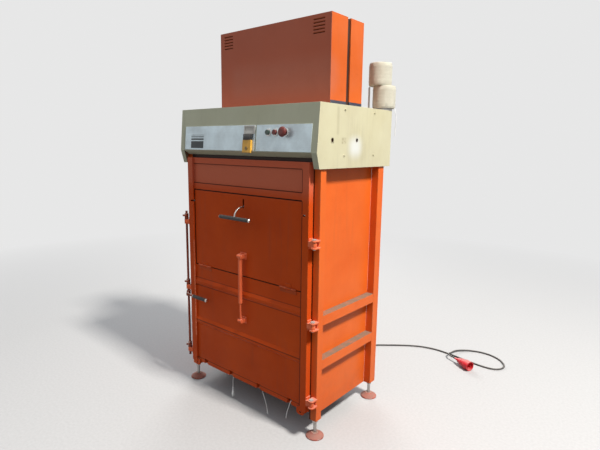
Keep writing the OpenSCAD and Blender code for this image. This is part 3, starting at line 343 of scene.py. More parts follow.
@dataclass(frozen=True)
class Paint(Finish):
    """Sprayed enamel on sheet steel, with its age on it."""

    name: str
    colour: Colour
    aged: Colour
    bare: Colour = (0.16, 0.10, 0.08)
    dirt: Colour = (0.10, 0.085, 0.07)
    dust: Colour = (0.42, 0.38, 0.33)
    rust: Colour = (0.13, 0.045, 0.02)
    rough: float = 0.38
    edges: float = 0.6
    scratches: float = 0.25
    top_dust: float = 0.75
    film: float = 0.12
    runs: float = 0.22
    low: float = 0.35
    spots: float = 0.15
    waves: float = 0.35
    gloss: float = 0.3
    marks: tuple[Mark, ...] = ()

    def build(self, tree: Surface) -> None:
        """Lays shade, dirt, wear, rust, dust and marks over the paint."""
        grain = tree.use(GRAIN)
        grime = tree.use(GRIME, Runs=self.runs, Low=self.low)["Mask"]
        wear = tree.use(WEAR, Edges=self.edges, Scratches=self.scratches)["Mask"]
        rust = tree.use(RUST, Spots=self.spots)["Mask"]
        dust = tree.use(DUST, Top=self.top_dust, Film=self.film)["Mask"]
        tree.lay(self.colour, (grain["Patches"], self.aged), (grime, self.dirt), (wear, self.bare), (rust, self.rust),
                 (dust, self.dust), *((mark.mask(tree), mark.colour) for mark in self.marks))
        rough = tree.span(grain["Patches"], 0.0, 1.0, self.rough - 0.05, self.rough + 0.09)
        tree.dull(rough, tree.math("MAXIMUM", tree.math("MAXIMUM", dust, grime), rust))
        tree.relief(grain["Height"], self.waves, 0.004)
        tree.give(Specular_IOR_Level=self.gloss)


@dataclass(frozen=True)
class Metal(Finish):
    """Bare or plated metal with fine lines, tarnish and rust."""

    name: str
    colour: Colour
    tarnish: Colour = (0.22, 0.19, 0.16)
    rough: float = 0.32
    metallic: float = 1.0
    spots: float = 0.5
    film: float = 0.2
    lines: Point = (4.0, 4.0, 260.0)

    def build(self, tree: Surface) -> None:
        """Lays brushing, tarnish, rust and dust over the metal."""
        brushed = tree.noise(1.0, 3.0, stretch=self.lines)
        patches = tree.use(GRAIN, Patch_Scale=9.0)["Patches"]
        rust = tree.use(RUST, Spots=self.spots, Scale=110.0)["Mask"]
        dust = tree.use(DUST, Top=0.6, Film=self.film)["Mask"]
        tree.lay(self.colour, (tree.times(patches, 0.45), self.tarnish), (rust, (0.15, 0.06, 0.03)),
                 (dust, (0.40, 0.37, 0.33)))
        cover = tree.math("MAXIMUM", dust, rust)
        tree.give(Metallic=tree.span(cover, 0.0, 0.8, self.metallic, 0.0))
        tree.dull(tree.span(brushed, 0.3, 0.7, self.rough - 0.07, self.rough + 0.12), cover)
        tree.relief(brushed, 0.25, 0.0006)


@dataclass(frozen=True)
class Plastic(Finish):
    """Moulded plastic or rubber with a fine texture, scuffs and dust."""

    name: str
    colour: Colour
    scuffed: Colour = (0.20, 0.19, 0.18)
    rough: float = 0.42
    film: float = 0.15
    top_dust: float = 0.45
    edges: float = 0.3
    texture: float = 900.0

    def build(self, tree: Surface) -> None:
        """Lays mould texture, scuffs and dust over the plastic."""
        grain = tree.use(GRAIN, Grain_Scale=self.texture, Patch_Scale=12.0)
        lighter = tuple(min(1.0, c * 1.25 + 0.01) for c in self.colour)
        wear = tree.use(WEAR, Edges=self.edges, Scratches=0.3)["Mask"]
        dust = tree.use(DUST, Top=self.top_dust, Film=self.film)["Mask"]
        tree.lay(self.colour, (grain["Patches"], lighter), (wear, self.scuffed), (dust, (0.36, 0.33, 0.29)))
        tree.dull(self.rough, dust)
        tree.relief(grain["Height"], 0.3, 0.0006)


@dataclass(frozen=True)
class Wound(Finish):
    """Pale twine wound crosswise on a spool, read from the piece's own UV map."""

    name: str
    colour: Colour
    shade: Colour
    turns: float = 34.0
    lay: float = 5.0

    def build(self, tree: Surface) -> None:
        """Crosses two sets of slanting strands."""
        around, along = tree.axis(tree.coords("UV"), 0), tree.axis(tree.coords("UV"), 1)
        heights = []
        for sign in (1.0, -1.0):
            slanted = tree.math("ADD", tree.times(along, self.turns), tree.times(around, sign * self.lay))
            heights.append(tree.math("ABSOLUTE", tree.math("SINE", tree.times(slanted, math.pi))))
        swap = tree.span(tree.noise(30.0, 2.0), 0.45, 0.55)
        height = tree.out("ShaderNodeMix", {0: swap, 2: heights[0], 3: heights[1]}, data_type="FLOAT")
        grey = tree.times(tree.use(GRAIN, Patch_Scale=16.0)["Patches"], 0.35)
        dust = tree.use(DUST, Top=0.2, Film=0.05)["Mask"]
        # Painted shade in the hollows between the strands, and greyer patches at random, both in the shade colour
        tree.lay(self.colour, (tree.span(height, 0.0, 0.6, 1.0, 0.0), self.shade), (grey, self.shade),
                 (dust, (0.45, 0.42, 0.37)))
        tree.give(Roughness=0.85, Sheen_Weight=0.3)
        fibre = tree.times(tree.noise(500.0, 3.0), 0.25)
        tree.relief(tree.math("ADD", height, fibre), 0.9, 0.0015)


# Lower and upper edge of the hatch, inner edges of the stiles, front of the door's rim, (y, z) of the cap holes
HATCH_LOW, HATCH_HIGH, STILE_IN, RIM = 0.909, 1.441, 0.4915, FRONT - 0.042
CAP_HOLES = ((FRONT + 0.085, 1.7775), (FRONT + 0.331, 1.7795))
BEHIND = PANEL + 0.024  # as deep as the hatch's gap goes


def seam(front: float, back: float, low: float, high: float, *look: float | Colour) -> Mark:
    """Makes a mark from stile to stile of the door, whose depths are measured from the panels."""
    return Mark((-STILE_IN, PANEL + front, low), (STILE_IN, PANEL + back, high), *look)


DOOR_MARKS = (
    # Greyer top panel
    Mark((-0.550, RIM - 0.003, 1.540), (0.5385, BEHIND, 1.660), 0.130, 0.75, srgb(204, 106, 78)),
    seam(-0.002, 0.014, 1.489, 1.615, 0.003, 0.40, srgb(206, 120, 92), 0.15),
    # Painted shade in the gaps round the hatch and the panels
    seam(-0.002, 0.024, HATCH_HIGH - 0.004, HATCH_HIGH + 0.002, 0.002, 0.94),
    Mark((-STILE_IN - 0.001, PANEL - 0.002, HATCH_LOW), (-STILE_IN + 0.004, BEHIND, HATCH_HIGH), 0.002, 0.94),
    seam(-0.0005, 0.024, HATCH_LOW - 0.003, HATCH_LOW + 0.003, 0.001, 0.92),
    seam(-0.001, 0.010, 1.4850, 1.4875, 0.002, 0.85),
    seam(-0.001, 0.010, 1.6170, 1.6195, 0.002, 0.80),
    seam(-0.018, 0.010, 0.1985, 0.2015, 0.002, 0.70),
    # Painted shade along the right stile, and a painted highlight on the lit, worn inner edge of the left one
    Mark((STILE_IN - 0.002, RIM - 0.002, 0.200), (STILE_IN + 0.004, RIM + 0.006, 1.440), 0.002, 0.88),
    Mark((STILE_IN - 0.002, RIM - 0.002, 1.490), (STILE_IN + 0.003, RIM + 0.006, 1.615), 0.002, 0.80),
    Mark((-STILE_IN - 0.006, RIM - 0.002, 0.370), (-STILE_IN + 0.002, RIM + 0.003, 1.080), 0.002, 0.75,
         srgb(250, 160, 120), 0.75),
    # Shade in the swages
    *(seam(-0.012, 0.002, z, z + 0.002, 0.004, share) for z, share in ((0.755, 0.55), (0.811, 0.45), (0.494, 0.70))))
BODY_MARKS = (
    # Shade on the lintel, beside the door and behind the cap holes
    Mark((-0.5365, FRONT - 0.001, 1.640), (0.5365, FRONT + 0.004, 1.800), 0.006, 0.97),
    *(Mark((x, FRONT - 0.001, 0.112), (x + 0.009, FRONT + 0.0005, 1.658), 0.004, 0.90) for x in (-0.5465, 0.5375)),
    *(Mark((x, y - 0.03, z - 0.03), (x + 0.2, y + 0.03, z + 0.03), 0.002, 0.85, (0.035, 0.035, 0.030))
      for y, z in CAP_HOLES for x in (-0.60, 0.40)))
HOOD_MARKS = (
    # Painted shade on the front, its paler middle, and painted shade on what lies just behind the front sheet
    Mark((-0.480, FRONT + 0.216, 1.990), (0.480, FRONT + 0.2195, 2.520), 0.001, 0.80, srgb(170, 92, 72)),
    Mark((-0.300, FRONT + 0.216, 2.120), (0.440, FRONT + 0.2195, 2.200), 0.120, 0.45, srgb(176, 110, 90), 0.2),
    Mark((-0.470, FRONT + 0.2225, 2.010), (0.470, FRONT + 0.300, 2.490), 0.002, 0.92))
CAP_MARKS = (
    # Painted shade on the front, dirt at the holes, a painted highlight of glare, a stain, and painted shade along a
    # crease
    Mark((-0.5985, FRONT - 0.100, 1.610), (0.5985, FRONT - 0.012, 2.000), 0.0008, 0.5, (0.353, 0.395, 0.313)),
    *(Mark((0.590, y - 0.007, z - 0.009), (0.604, y + 0.007, z + 0.009), 0.012, 0.75, (0.07, 0.045, 0.025), 0.5)
      for y, z in CAP_HOLES),
    # Painted highlight: a pale patch of glare below the rear hole
    Mark((0.590, -0.040, 1.736), (0.604, -0.010, 1.750), 0.085, 1.0, srgb(214, 215, 208)),
    Mark((0.590, -0.160, 1.766), (0.604, -0.128, 1.790), 0.010, 0.60, (0.22, 0.17, 0.10), 0.9),
    # Painted shade along a crease in the sheet
    Mark((0.590, -0.2075, 1.820), (0.604, -0.2045, 1.955), 0.018, 0.28, (0.30, 0.26, 0.16)))

# Painted light: the door's orange is a redder, darker copy for the shaded front, and the body's orange below is a
# lighter, yellower copy for the lit side
ORANGE = Paint(
    "orange enamel", srgb(208, 80, 22), srgb(194, 70, 20), dust=(0.20, 0.13, 0.09), film=0.04, gloss=0.08,
    low=0.10, marks=DOOR_MARKS)
ORANGE_SIDE = Paint(
    "orange enamel, lighter copy for the lit side", srgb(226, 104, 36), srgb(216, 94, 32), dust=(0.20, 0.145, 0.10), waves=0.5,
    film=0.06, runs=0.12, low=0.12, top_dust=1.0, gloss=0.2, marks=BODY_MARKS)
HOOD = Paint(
    "orange enamel, chalky", srgb(203, 94, 30), srgb(192, 86, 28), rough=0.42, runs=0.15, low=0.0, gloss=0.2,
    film=0.06, marks=HOOD_MARKS)
# Faded paint on brackets, eyes and the stay, also made lighter than the door's orange as painted light on these
# protruding parts
BRACKET = Paint(
    "faded bracket enamel, lightened as painted light", srgb(238, 118, 74), srgb(220, 96, 54), bare=(0.20, 0.075, 0.035), edges=0.8,
    spots=0.6, film=0.03, top_dust=0.35, gloss=0.2)
LOCK = Paint("shaded lock enamel", srgb(156, 74, 46), srgb(128, 56, 36), edges=0.8, spots=0.4, film=0.03, gloss=0.15)
WORN_HINGE = Paint(
    "worn hinge enamel", srgb(208, 84, 30), srgb(160, 70, 40), bare=(0.40, 0.32, 0.26), edges=0.45,
    scratches=0.5, film=0.02, top_dust=0.2, gloss=0.1)
FLOOR_STEEL = Paint("scoured floor enamel", srgb(140, 92, 66), srgb(110, 74, 56), rough=0.5, scratches=0.8)
CREAM = Paint(
    "cream enamel", srgb(203, 198, 166), srgb(192, 184, 148), bare=(0.30, 0.27, 0.22), rough=0.42, edges=0.5,
    scratches=0.15, top_dust=0.6, film=0.15, runs=0.3, low=0.0, spots=0.12, waves=0.25, marks=CAP_MARKS)
# Painted shade: the mast in the gap between the hoods is made dark so that the gap reads as shadow
MAST = Paint("dark enamel, painted shade between the hoods", (0.050, 0.018, 0.008), (0.030, 0.012, 0.008), rough=0.5, top_dust=0.4, film=0.05)
GREY = Paint("dark grey enamel", (0.05, 0.055, 0.06), (0.08, 0.085, 0.09), rough=0.45, low=0.0)
TANK = Paint("grey-green enamel", (0.10, 0.13, 0.13), (0.14, 0.17, 0.16), rough=0.45, low=0.0)
MOTOR = Paint("blue-grey enamel", (0.10, 0.17, 0.21), (0.14, 0.21, 0.24), rough=0.45, low=0.0)
PLATEN = Paint(
    "rubbed platen enamel", srgb(176, 84, 46), srgb(130, 74, 52), rough=0.5, edges=1.0,
    scratches=0.8, low=0.0)
PAD = Paint(
    "scuffed pad enamel", srgb(204, 100, 78), srgb(150, 66, 52), bare=(0.55, 0.46, 0.42), rough=0.55, edges=1.0,
    scratches=0.9, low=0.5, film=0.10, dust=(0.30, 0.20, 0.16))
PLATE = Metal(
    "satin control plate", srgb(205, 220, 226), tarnish=srgb(150, 158, 160), rough=0.42, metallic=0.55,
    spots=0.05, film=0.12, lines=(5.0, 300.0, 300.0))
STEEL = Metal("worn steel", (0.52, 0.51, 0.49), rough=0.36)
BRIGHT = Metal("bright steel", (0.72, 0.71, 0.69), rough=0.28, spots=0.1, film=0.05)
BEZEL = Metal("cast bezel", (0.42, 0.42, 0.40), rough=0.5, metallic=0.7, spots=0.1)
COLLAR = Metal("plated collar", (0.60, 0.60, 0.60), rough=0.22, spots=0.1)
DARK = Plastic("black plastic", (0.012, 0.012, 0.013))
GRIP = Plastic("grip rubber", (0.012, 0.010, 0.009), scuffed=(0.10, 0.08, 0.07), rough=0.55, film=0.03, top_dust=0.10)
YELLOW = Plastic("yellow plastic", srgb(214, 158, 44), scuffed=srgb(120, 90, 40), rough=0.38)
GREEN = Plastic("dark green plastic", srgb(22, 50, 40), rough=0.3)
RED = Plastic("red plastic", srgb(92, 22, 14), scuffed=srgb(80, 46, 36), rough=0.48, film=0.04, top_dust=0.18)
NAVY = Plastic("navy rubber strip", srgb(30, 36, 58), rough=0.55)
LEAD = Plastic("black lead sheath", (0.014, 0.014, 0.015), rough=0.5, film=0.25)
PLUG_RED = Plastic("red plug housing", srgb(205, 22, 38), scuffed=srgb(130, 40, 40), rough=0.36)
PRINT = Plastic("dark print", srgb(28, 38, 42), rough=0.5, edges=0.0)
TWINE = Wound("wound twine", srgb(217, 213, 194), srgb(180, 173, 150))
BRASS = Metal("dull lock brass", (0.22, 0.15, 0.06), rough=0.45, spots=0.1)
STRAND = Plastic("loose twine", srgb(240, 238, 230), scuffed=srgb(180, 176, 160), rough=0.8, texture=1500.0)

COPLANAR = 0.002  # radians between two faces that lie in one plane
LARGE_FACE = 0.004  # square metres from which a face is shown flat


def add_object(name: str, data: bpy.types.ID) -> Object:
    """Makes an object of a mesh, light or camera and links it to the scene."""
    made = bpy.data.objects.new(name, data)
    bpy.context.scene.collection.objects.link(made)
    return made


def mount(name: str, mesh: bpy.types.Mesh, body: str) -> Object:
    """Makes a piece of a mesh, which rides on a body."""
    piece = add_object(name, mesh)
    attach(piece, body)
    return piece


def join_mesh(name: str, build: BMesh, finish: Finish, body: str,
              smooth: float = 30.0, planes: bool = False) -> Object:
    """Turns a bmesh into a finished piece that rides on a body.

    Args:
        name: The piece's name.
        build: The bmesh, which is freed.
        finish: The finish to put on it.
        body: The body that it rides on.
        smooth: Edges flatter than this many degrees are smoothed.
        planes: Keeps faces flat that are large or lie in one plane with a neighbour.

    Returns:
        The new object.
    """
    flags = []
    for face in build.faces:
        level = planes and any(len(e.link_faces) == 2 and e.calc_face_angle(1.0) < COPLANAR for e in face.edges)
        flags.append(len(face.verts) <= 4 and not level and not (planes and face.calc_area() > LARGE_FACE))
    mesh = bpy.data.meshes.new(name)
    build.to_mesh(mesh)
    build.free()
    imported = mesh.attributes.get("custom_normal")
    if imported is not None:
        mesh.attributes.remove(imported)
    mesh.materials.append(finish.material())
    mesh.set_sharp_from_angle(angle=math.radians(smooth))
    mesh.polygons.foreach_set("use_smooth", flags)
    return mount(name, mesh, body)


def merge(whole: BMesh, part: BMesh) -> None:
    """Adds a part to a bmesh and frees the part."""
    holder = bpy.data.meshes.new("part")
    part.to_mesh(holder)
    part.free()
    whole.from_mesh(holder)
    bpy.data.meshes.remove(holder)


@dataclass
class Formed:
    """A CAD node that is shown with its edges rounded and marked for wear."""

    node: str
    body: str
    finish: Finish
    slot: Slot
    radius: float
    steps: int = 2
    merge: float = 0.00002
    flat: float = math.radians(0.8)
    sharp: float = math.radians(28)

    def build(self) -> None:
        """Copies the node's mesh, merges it, rounds its edges and replaces the node."""
        made = bmesh.new()
        made.from_mesh(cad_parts[self.node].data)
        bmesh.ops.remove_doubles(made, verts=made.verts, dist=self.merge)
        bmesh.ops.dissolve_limit(made, angle_limit=self.flat, verts=made.verts, edges=made.edges)
        sharp = [e for e in made.edges if len(e.link_faces) == 2 and e.calc_face_angle(0.0) > self.sharp]
        edge = made.faces.layers.float.new("edge")
        rounded = bmesh.ops.bevel(made, geom=sharp, offset=self.radius, segments=self.steps, profile=0.5,
                                  affect="EDGES", clamp_overlap=True)
        for face in rounded["faces"]:
            face[edge] = 1.0
        piece = join_mesh(f"{self.node}_formed", made, self.finish, self.body, 24.0, True)
        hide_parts(self.node)


def form(body: str, finish: Finish, slot: Slot, radius: float, *nodes: str, steps: int = 2) -> None:
    """Shows CAD nodes of one body with their edges rounded, in one finish."""
    for node in nodes:
        Formed(node, body, finish, slot, radius, steps).build()


def paint(finish: Finish, *nodes: str) -> None:
    """Puts a finish on every material slot of CAD nodes."""
    for node in nodes:
        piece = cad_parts[node]
        if not piece.material_slots:
            piece.data.materials.append(finish.material())
        for place in piece.material_slots:
            place.material = finish.material()


def smooth_path(points: tuple[Point, ...], steps: int) -> list[Vector]:
    """Runs the part source's smooth curve through points.

    Args:
        points: Route points in metres.
        steps: Pieces that each stretch is cut into.

    Returns:
        Points along the curve.
    """
    route = [Vector(p) for p in points]
    last = len(route) - 1
    made = []
    for i in range(last):
        a, b, c, d = (route[max(i - 1, 0)], route[i], route[i + 1], route[min(i + 2, last)])
        for s in range(steps):
            t = s / steps
            made.append(0.5 * (2 * b + (c - a) * t + (2 * a - 5 * b + 4 * c - d) * t * t
                               + (3 * b - a - 3 * c + d) * t ** 3))
    return made + [route[-1]]


def tube(path: list[Vector], radii: list[float], sides: int) -> BMesh:
    """Sweeps a closed tube along a path.

    Args:
        path: Points of the centre line.
        radii: Radius at each point.
        sides: Number of sides.

    Returns:
        The tube.
    """
    made = bmesh.new()
    rings = []
    across = None
    for i, point in enumerate(path):
        along = (path[min(i + 1, len(path) - 1)] - path[max(i - 1, 0)]).normalized()
        seed = across if across is not None else (Vector((0, 1, 0)) if abs(along.z) > 0.9 else Vector((0, 0, 1)))
        across = (seed - seed.dot(along) * along).normalized()
        other = along.cross(across)
        turns = [2 * math.pi * k / sides for k in range(sides)]
        rings.append([made.verts.new(point + radii[i] * (math.cos(a) * across + math.sin(a) * other)) for a in turns])
    for low, high in zip(rings, rings[1:]):
        for k in range(sides):
            made.faces.new((low[k], low[(k + 1) % sides], high[(k + 1) % sides], high[k]))
    made.faces.new(list(reversed(rings[0])))
    made.faces.new(rings[-1])
    return made


def realise(name: str, places: list[Point], group: NodeTree, values: dict[str, object], body: str) -> None:
    """Runs a Geometry Nodes tree on a set of points and keeps its result as a plain mesh.

    Args:
        name: The piece's name.
        places: Points that the tree starts from.
        group: The tree.
        values: Its inputs by name.
        body: The body that the piece rides on.
    """
    points = bpy.data.meshes.new(f"{name}_points")
    points.from_pydata(places, [], [])
    seed = add_object(points.name, points)
    modifier = seed.modifiers.new("nodes", "NODES")
    modifier.node_group = group
    for item in group.interface.items_tree:
        if item.in_out == "INPUT" and item.name in values:
            modifier[item.identifier] = values[item.name]
    graph = bpy.context.evaluated_depsgraph_get()
    graph.update()
    mesh = bpy.data.meshes.new_from_object(seed.evaluated_get(graph), depsgraph=graph)
    seed.modifiers.clear()
    bpy.data.objects.remove(seed)
    if not mesh.materials:
        mesh.materials.append(values["Finish"])
    mount(name, mesh, body)


class Scatter(Tree):
    """A Geometry Nodes group that sets a mesh on points and dresses the result."""

    def __init__(self, name: str, inputs: dict[str, str]) -> None:
        """Makes the group with its sockets.

        Args:
            name: The group's name.
            inputs: Socket types of the named inputs between the points and the finish.
        """
        super().__init__(bpy.data.node_groups.new(name, "GeometryNodeTree"))
        sockets = self.tree.interface
        for key, kind in {"Geometry": "Geometry", **inputs, "Finish": "Material"}.items():
            sockets.new_socket(key, in_out="INPUT", socket_type=f"NodeSocket{kind}")
        sockets.new_socket("Geometry", in_out="OUTPUT", socket_type="NodeSocketGeometry")
        self.given = self.node("NodeGroupInput").outputs

    def close(self, **spread: Socket) -> NodeTree:
        """Sets the mesh on the points, makes the copies real, gives them the finish and returns the group."""
        placed = self.out("GeometryNodeInstanceOnPoints", spread)
        real = self.out("GeometryNodeRealizeInstances", {0: placed})
        dressed = self.out("GeometryNodeSetMaterial", {0: real, "Material": self.given["Finish"]})
        self.node("NodeGroupOutput", {0: dressed})
        return self.tree


@dataclass
class ScrewRow:
    """Screw heads of one size on one face, set out by Geometry Nodes."""

    name: str
    body: str
    places: list[Point]
    outward: Point
    finish: Finish
    slot: Slot
    radius: float = 0.007
    height: float = 0.004
    sides: int = 6

    def tree(self) -> NodeTree:
        """Builds the tree that puts a washer and a head on every point."""
        tree = Scatter("screw heads", {"Radius": "Float", "Height": "Float", "Outward": "Vector"})
        radius, height = tree.given["Radius"], tree.given["Height"]
        washer = tree.out("GeometryNodeMeshCylinder", {
            "Vertices": 20, "Radius": radius, "Depth": tree.times(height, 0.3)})
        head = tree.out("GeometryNodeMeshCone", {
            "Vertices": self.sides, "Radius Top": tree.times(radius, 0.58),
            "Radius Bottom": tree.times(radius, 0.70), "Depth": tree.times(height, 0.9)})
        both = tree.node("GeometryNodeJoinGeometry")
        for part in (washer, head):
            tree.set(both.inputs[0], part)
        turned = tree.out("FunctionNodeAlignRotationToVector", {"Vector": tree.given["Outward"]}, axis="Z")
        return tree.close(Points=tree.given["Geometry"], Instance=both.outputs[0], Rotation=turned)

    def build(self) -> None:
        """Runs the tree and keeps all screw heads of the row as one plain mesh."""
        realise(self.name, self.places, self.tree(), {
            "Radius": self.radius, "Height": self.height, "Outward": self.outward,
            "Finish": self.finish.material()}, self.body)


def on_face(x: float, out: float, up: float) -> Point:
    """Places a point on the sloping front of the head: across, out of the face, up from the knee."""
    cos, sin = math.cos(FACE_TILT), math.sin(FACE_TILT)
    return (x, KNEE_Y - out * cos + up * sin, KNEE_Z + out * sin + up * cos)


@dataclass
class SheetBody:
    """Posts, walls, ribs, floor and top ring."""

    def build(self) -> None:
        """Rounds and paints the welded body."""
        form("frame", ORANGE_SIDE, Slot.ORANGE, 0.0025, "corner_posts")
        form("frame", ORANGE_SIDE, Slot.ORANGE, 0.0015, "wall_ribs", "floor_sills", "top_ring", "crosshead")
        paint(ORANGE_SIDE, "side_panels", "rear_panel")
        paint(FLOOR_STEEL, "floor_plate")
        form("frame", BRACKET, Slot.BRACKET, 0.001, "hinge_brackets", "lock_keepers")
        paint(STEEL, "hinge_pins", "foot_studs")
        form("frame", PAD, Slot.PAD, 0.001, "foot_pads")


@dataclass
class Head:
    """Cream sheet head with its end caps."""

    cap_x: float = 0.600
    screw_y: tuple[float, float] = (-0.139, 0.180)
    screw_z: tuple[float, float] = (1.695, 1.952)

    def build(self) -> None:
        """Rounds, paints and screws the head."""
        form("frame", CREAM, Slot.CREAM, 0.0009,
             "head_front", "head_cap_left", "head_cap_right", "head_top", "head_rear")
        for side, name in ((1, "right"), (-1, "left")):
            places = [(side * self.cap_x, y, z) for y in self.screw_y for z in self.screw_z]
            ScrewRow(f"cap_screws_{name}", "frame", places, (side, 0, 0), CREAM, Slot.CREAM, 0.009, 0.006).build()
        paint(DARK, "cord_gland")


@dataclass
class Hoods:
    """Two sheet hoods with their base frame, strip and mast."""

    def build(self) -> None:
        """Rounds and paints the hoods."""
        form("frame", HOOD, Slot.ORANGE, 0.0009, "front_cover", "rear_cover")
        # The mast takes the dark painted shade of the gap between the hoods
        form("frame", MAST, Slot.MAST, 0.001, "cover_mast")
        paint(NAVY, "cover_seals")


@dataclass
class Controls:
    """Plates, switch unit and buttons on the head."""

    left: float = -0.483
    right: float = -0.352
    foot: float = 0.010
    out: float = 0.0033
    stripes: tuple[tuple[float, float], ...] = ((0.004, 0.050), (0.058, 0.068), (0.076, 0.081), (0.089, 0.091))

    def build(self) -> None:
        """Paints the plates, prints the stripes and finishes the buttons."""
        form("frame", PLATE, Slot.PLATE, 0.0008, "control_plates")
        form("frame", BEZEL, Slot.PLATE, 0.0012, "switch_bezel")
        form("frame", DARK, Slot.DARK, 0.0025, "switch_body")
        form("frame", YELLOW, Slot.YELLOW, 0.003, "lock_block", steps=3)
        paint(BRASS, "lock_core")
        paint(COLLAR, "button_collars")
        paint(GREEN, "start_button")
        paint(RED, "stop_button", "stop_mushroom")
        made = bmesh.new()
        for low, high in self.stripes:
            corners = ((self.left, low), (self.right, low), (self.right, high), (self.left, high))
            made.faces.new([made.verts.new(on_face(x, self.out, self.foot + up)) for x, up in corners])
        join_mesh("plate_stripes", made, PRINT, "frame")


@dataclass
class Press:
    """Cylinder, ram, platen, tank and pump."""

    def build(self) -> None:
        """Paints the press and its power pack."""
        paint(GREY, "cylinder_barrel")
        paint(STEEL, "ram")
        paint(TANK, "oil_tank")
        paint(MOTOR, "pump_motor")
        form("press", PLATEN, Slot.ORANGE, 0.0015, "platen")


@dataclass
class GripEnds:
    """Bright steel domes that close a black grip, drawn by (distance, share of the radius)."""

    name: str
    body: str
    ends: tuple[tuple[Point, float], ...]
    radius: float = 0.0112
    dome: tuple[tuple[float, float], ...] = (
        (-0.001, 1.0), (0.002, 1.0), (0.0045, 0.88), (0.0062, 0.60), (0.0070, 0.25))

    def build(self) -> None:
        """Turns a low dome on each end, pointing the way that its sign says."""
        both = bmesh.new()
        for (x, y, z), sign in self.ends:
            path = [Vector((x + sign * out, y, z)) for out, _ in self.dome]
            merge(both, tube(path, [self.radius * share for _, share in self.dome], 24))
        join_mesh(self.name, both, BRIGHT, self.body, 40.0)


@dataclass
class Door:
    """Front door with its panels, eyes and lock."""

    lever_y: float = FRONT - 0.073
    lever_z: float = 0.680

    def build(self) -> None:
        """Rounds and paints the door and its lock."""
        form("door", ORANGE, Slot.ORANGE, 0.0022, "door_frame")
        form("door", ORANGE, Slot.ORANGE, 0.001, "door_top_panel", "door_lower_panel")
        form("door", BRACKET, Slot.BRACKET, 0.001, "door_eyes", "door_bracket")
        form("door", WORN_HINGE, Slot.STEEL, 0.0006, "hatch_hinges")
        form("lock", LOCK, Slot.STEEL, 0.0008, "lock_shaft")
        form("lock", GRIP, Slot.DARK, 0.002, "lock_grip")
        ends = tuple(((x, self.lever_y, self.lever_z), sign) for x, sign in ((-0.333, 1.0), (-0.4729, -1.0)))
        GripEnds("lock_grip_ends", "lock", ends, 0.0125).build()


@dataclass
class Hatch:
    """Loading hatch with its latch and stay."""

    grip: Point = (0.131, FRONT - 0.105, 1.296)

    def build(self) -> None:
        """Rounds and paints the hatch, latch and stay."""
        form("hatch", ORANGE, Slot.ORANGE, 0.0009, "hatch_panel")
        form("hatch", BRACKET, Slot.BRACKET, 0.001, "hatch_bracket")
        paint(STEEL, "latch_shaft", "latch_lever")
        form("latch", GRIP, Slot.DARK, 0.002, "latch_grip")
        x, y, z = self.grip
        GripEnds("latch_grip_ends", "latch", tuple(((sign * x, y, z), sign) for sign in (1.0, -1.0))).build()
        paint(BRACKET, "stay_tube", "stay_rod")


@dataclass
class Spools:
    """Two wound twine spools on their stand."""

    low: Point = (0.543, 0.382, 1.993)
    step: Point = (-0.023, -0.018, 0.1423)
    radius: float = 0.075
    height: float = 0.142
    core: float = 0.020
    lip: float = 0.006
    sides: int = 96
    rows: int = 22

    def build(self) -> None:
        """Turns both spools with a UV map for the winding."""
        paint(STEEL, "spool_stand")
        made = bmesh.new()
        for k in range(2):
            part = self.ring(self.profile())
            part.transform(Matrix.Translation(Vector(self.low) + k * Vector(self.step)))
            merge(made, part)
        piece = join_mesh("wound_spools", made, TWINE, "frame", 50.0)
        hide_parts("twine_spools")

    def profile(self) -> list[tuple[float, float]]:
        """Draws a spool's closed outline.

        Returns:
            Points of (radius, height), with rounded ends and slight swellings.
        """
        made = [(self.core, 0.0), (self.radius - self.lip, 0.0)]
        for i in range(self.rows + 1):
            share = i / self.rows
            bulge = 0.0006 * math.sin(share * 40)
            inset = 0.005 * (abs(2 * share - 1) ** 10)
            made.append((self.radius - 0.0007 - inset + bulge, 0.001 + share * (self.height - 0.002)))
        return made + [(self.radius - self.lip, self.height), (self.core, self.height), (self.core, 0.0)]

    def ring(self, profile: list[tuple[float, float]]) -> BMesh:
        """Turns a ring-shaped profile and gives it a UV map of turn and height.

        Args:
            profile: Closed outline of (radius, height).

        Returns:
            The ring.
        """
        made = bmesh.new()
        layer = made.loops.layers.uv.new("UVMap")
        turns = [2 * math.pi * k / self.sides for k in range(self.sides)]
        rings = [[made.verts.new((r * math.cos(a), r * math.sin(a), z)) for a in turns] for r, z in profile[:-1]]
        rings.append(rings[0])
        for i, (low, high) in enumerate(zip(rings, rings[1:])):
            for k in range(self.sides):
                n = (k + 1) % self.sides
                face = made.faces.new((low[k], low[n], high[n], high[k]))
                for loop, turn, row in zip(face.loops, (k, k + 1, k + 1, k), (i, i, i + 1, i + 1)):
                    radius, z = profile[row]
                    along = z if 1 < row < len(profile) - 3 else z + (self.radius - radius)
                    loop[layer].uv = (turn / self.sides, along / self.height)
        bmesh.ops.recalc_face_normals(made, faces=made.faces)
        return made


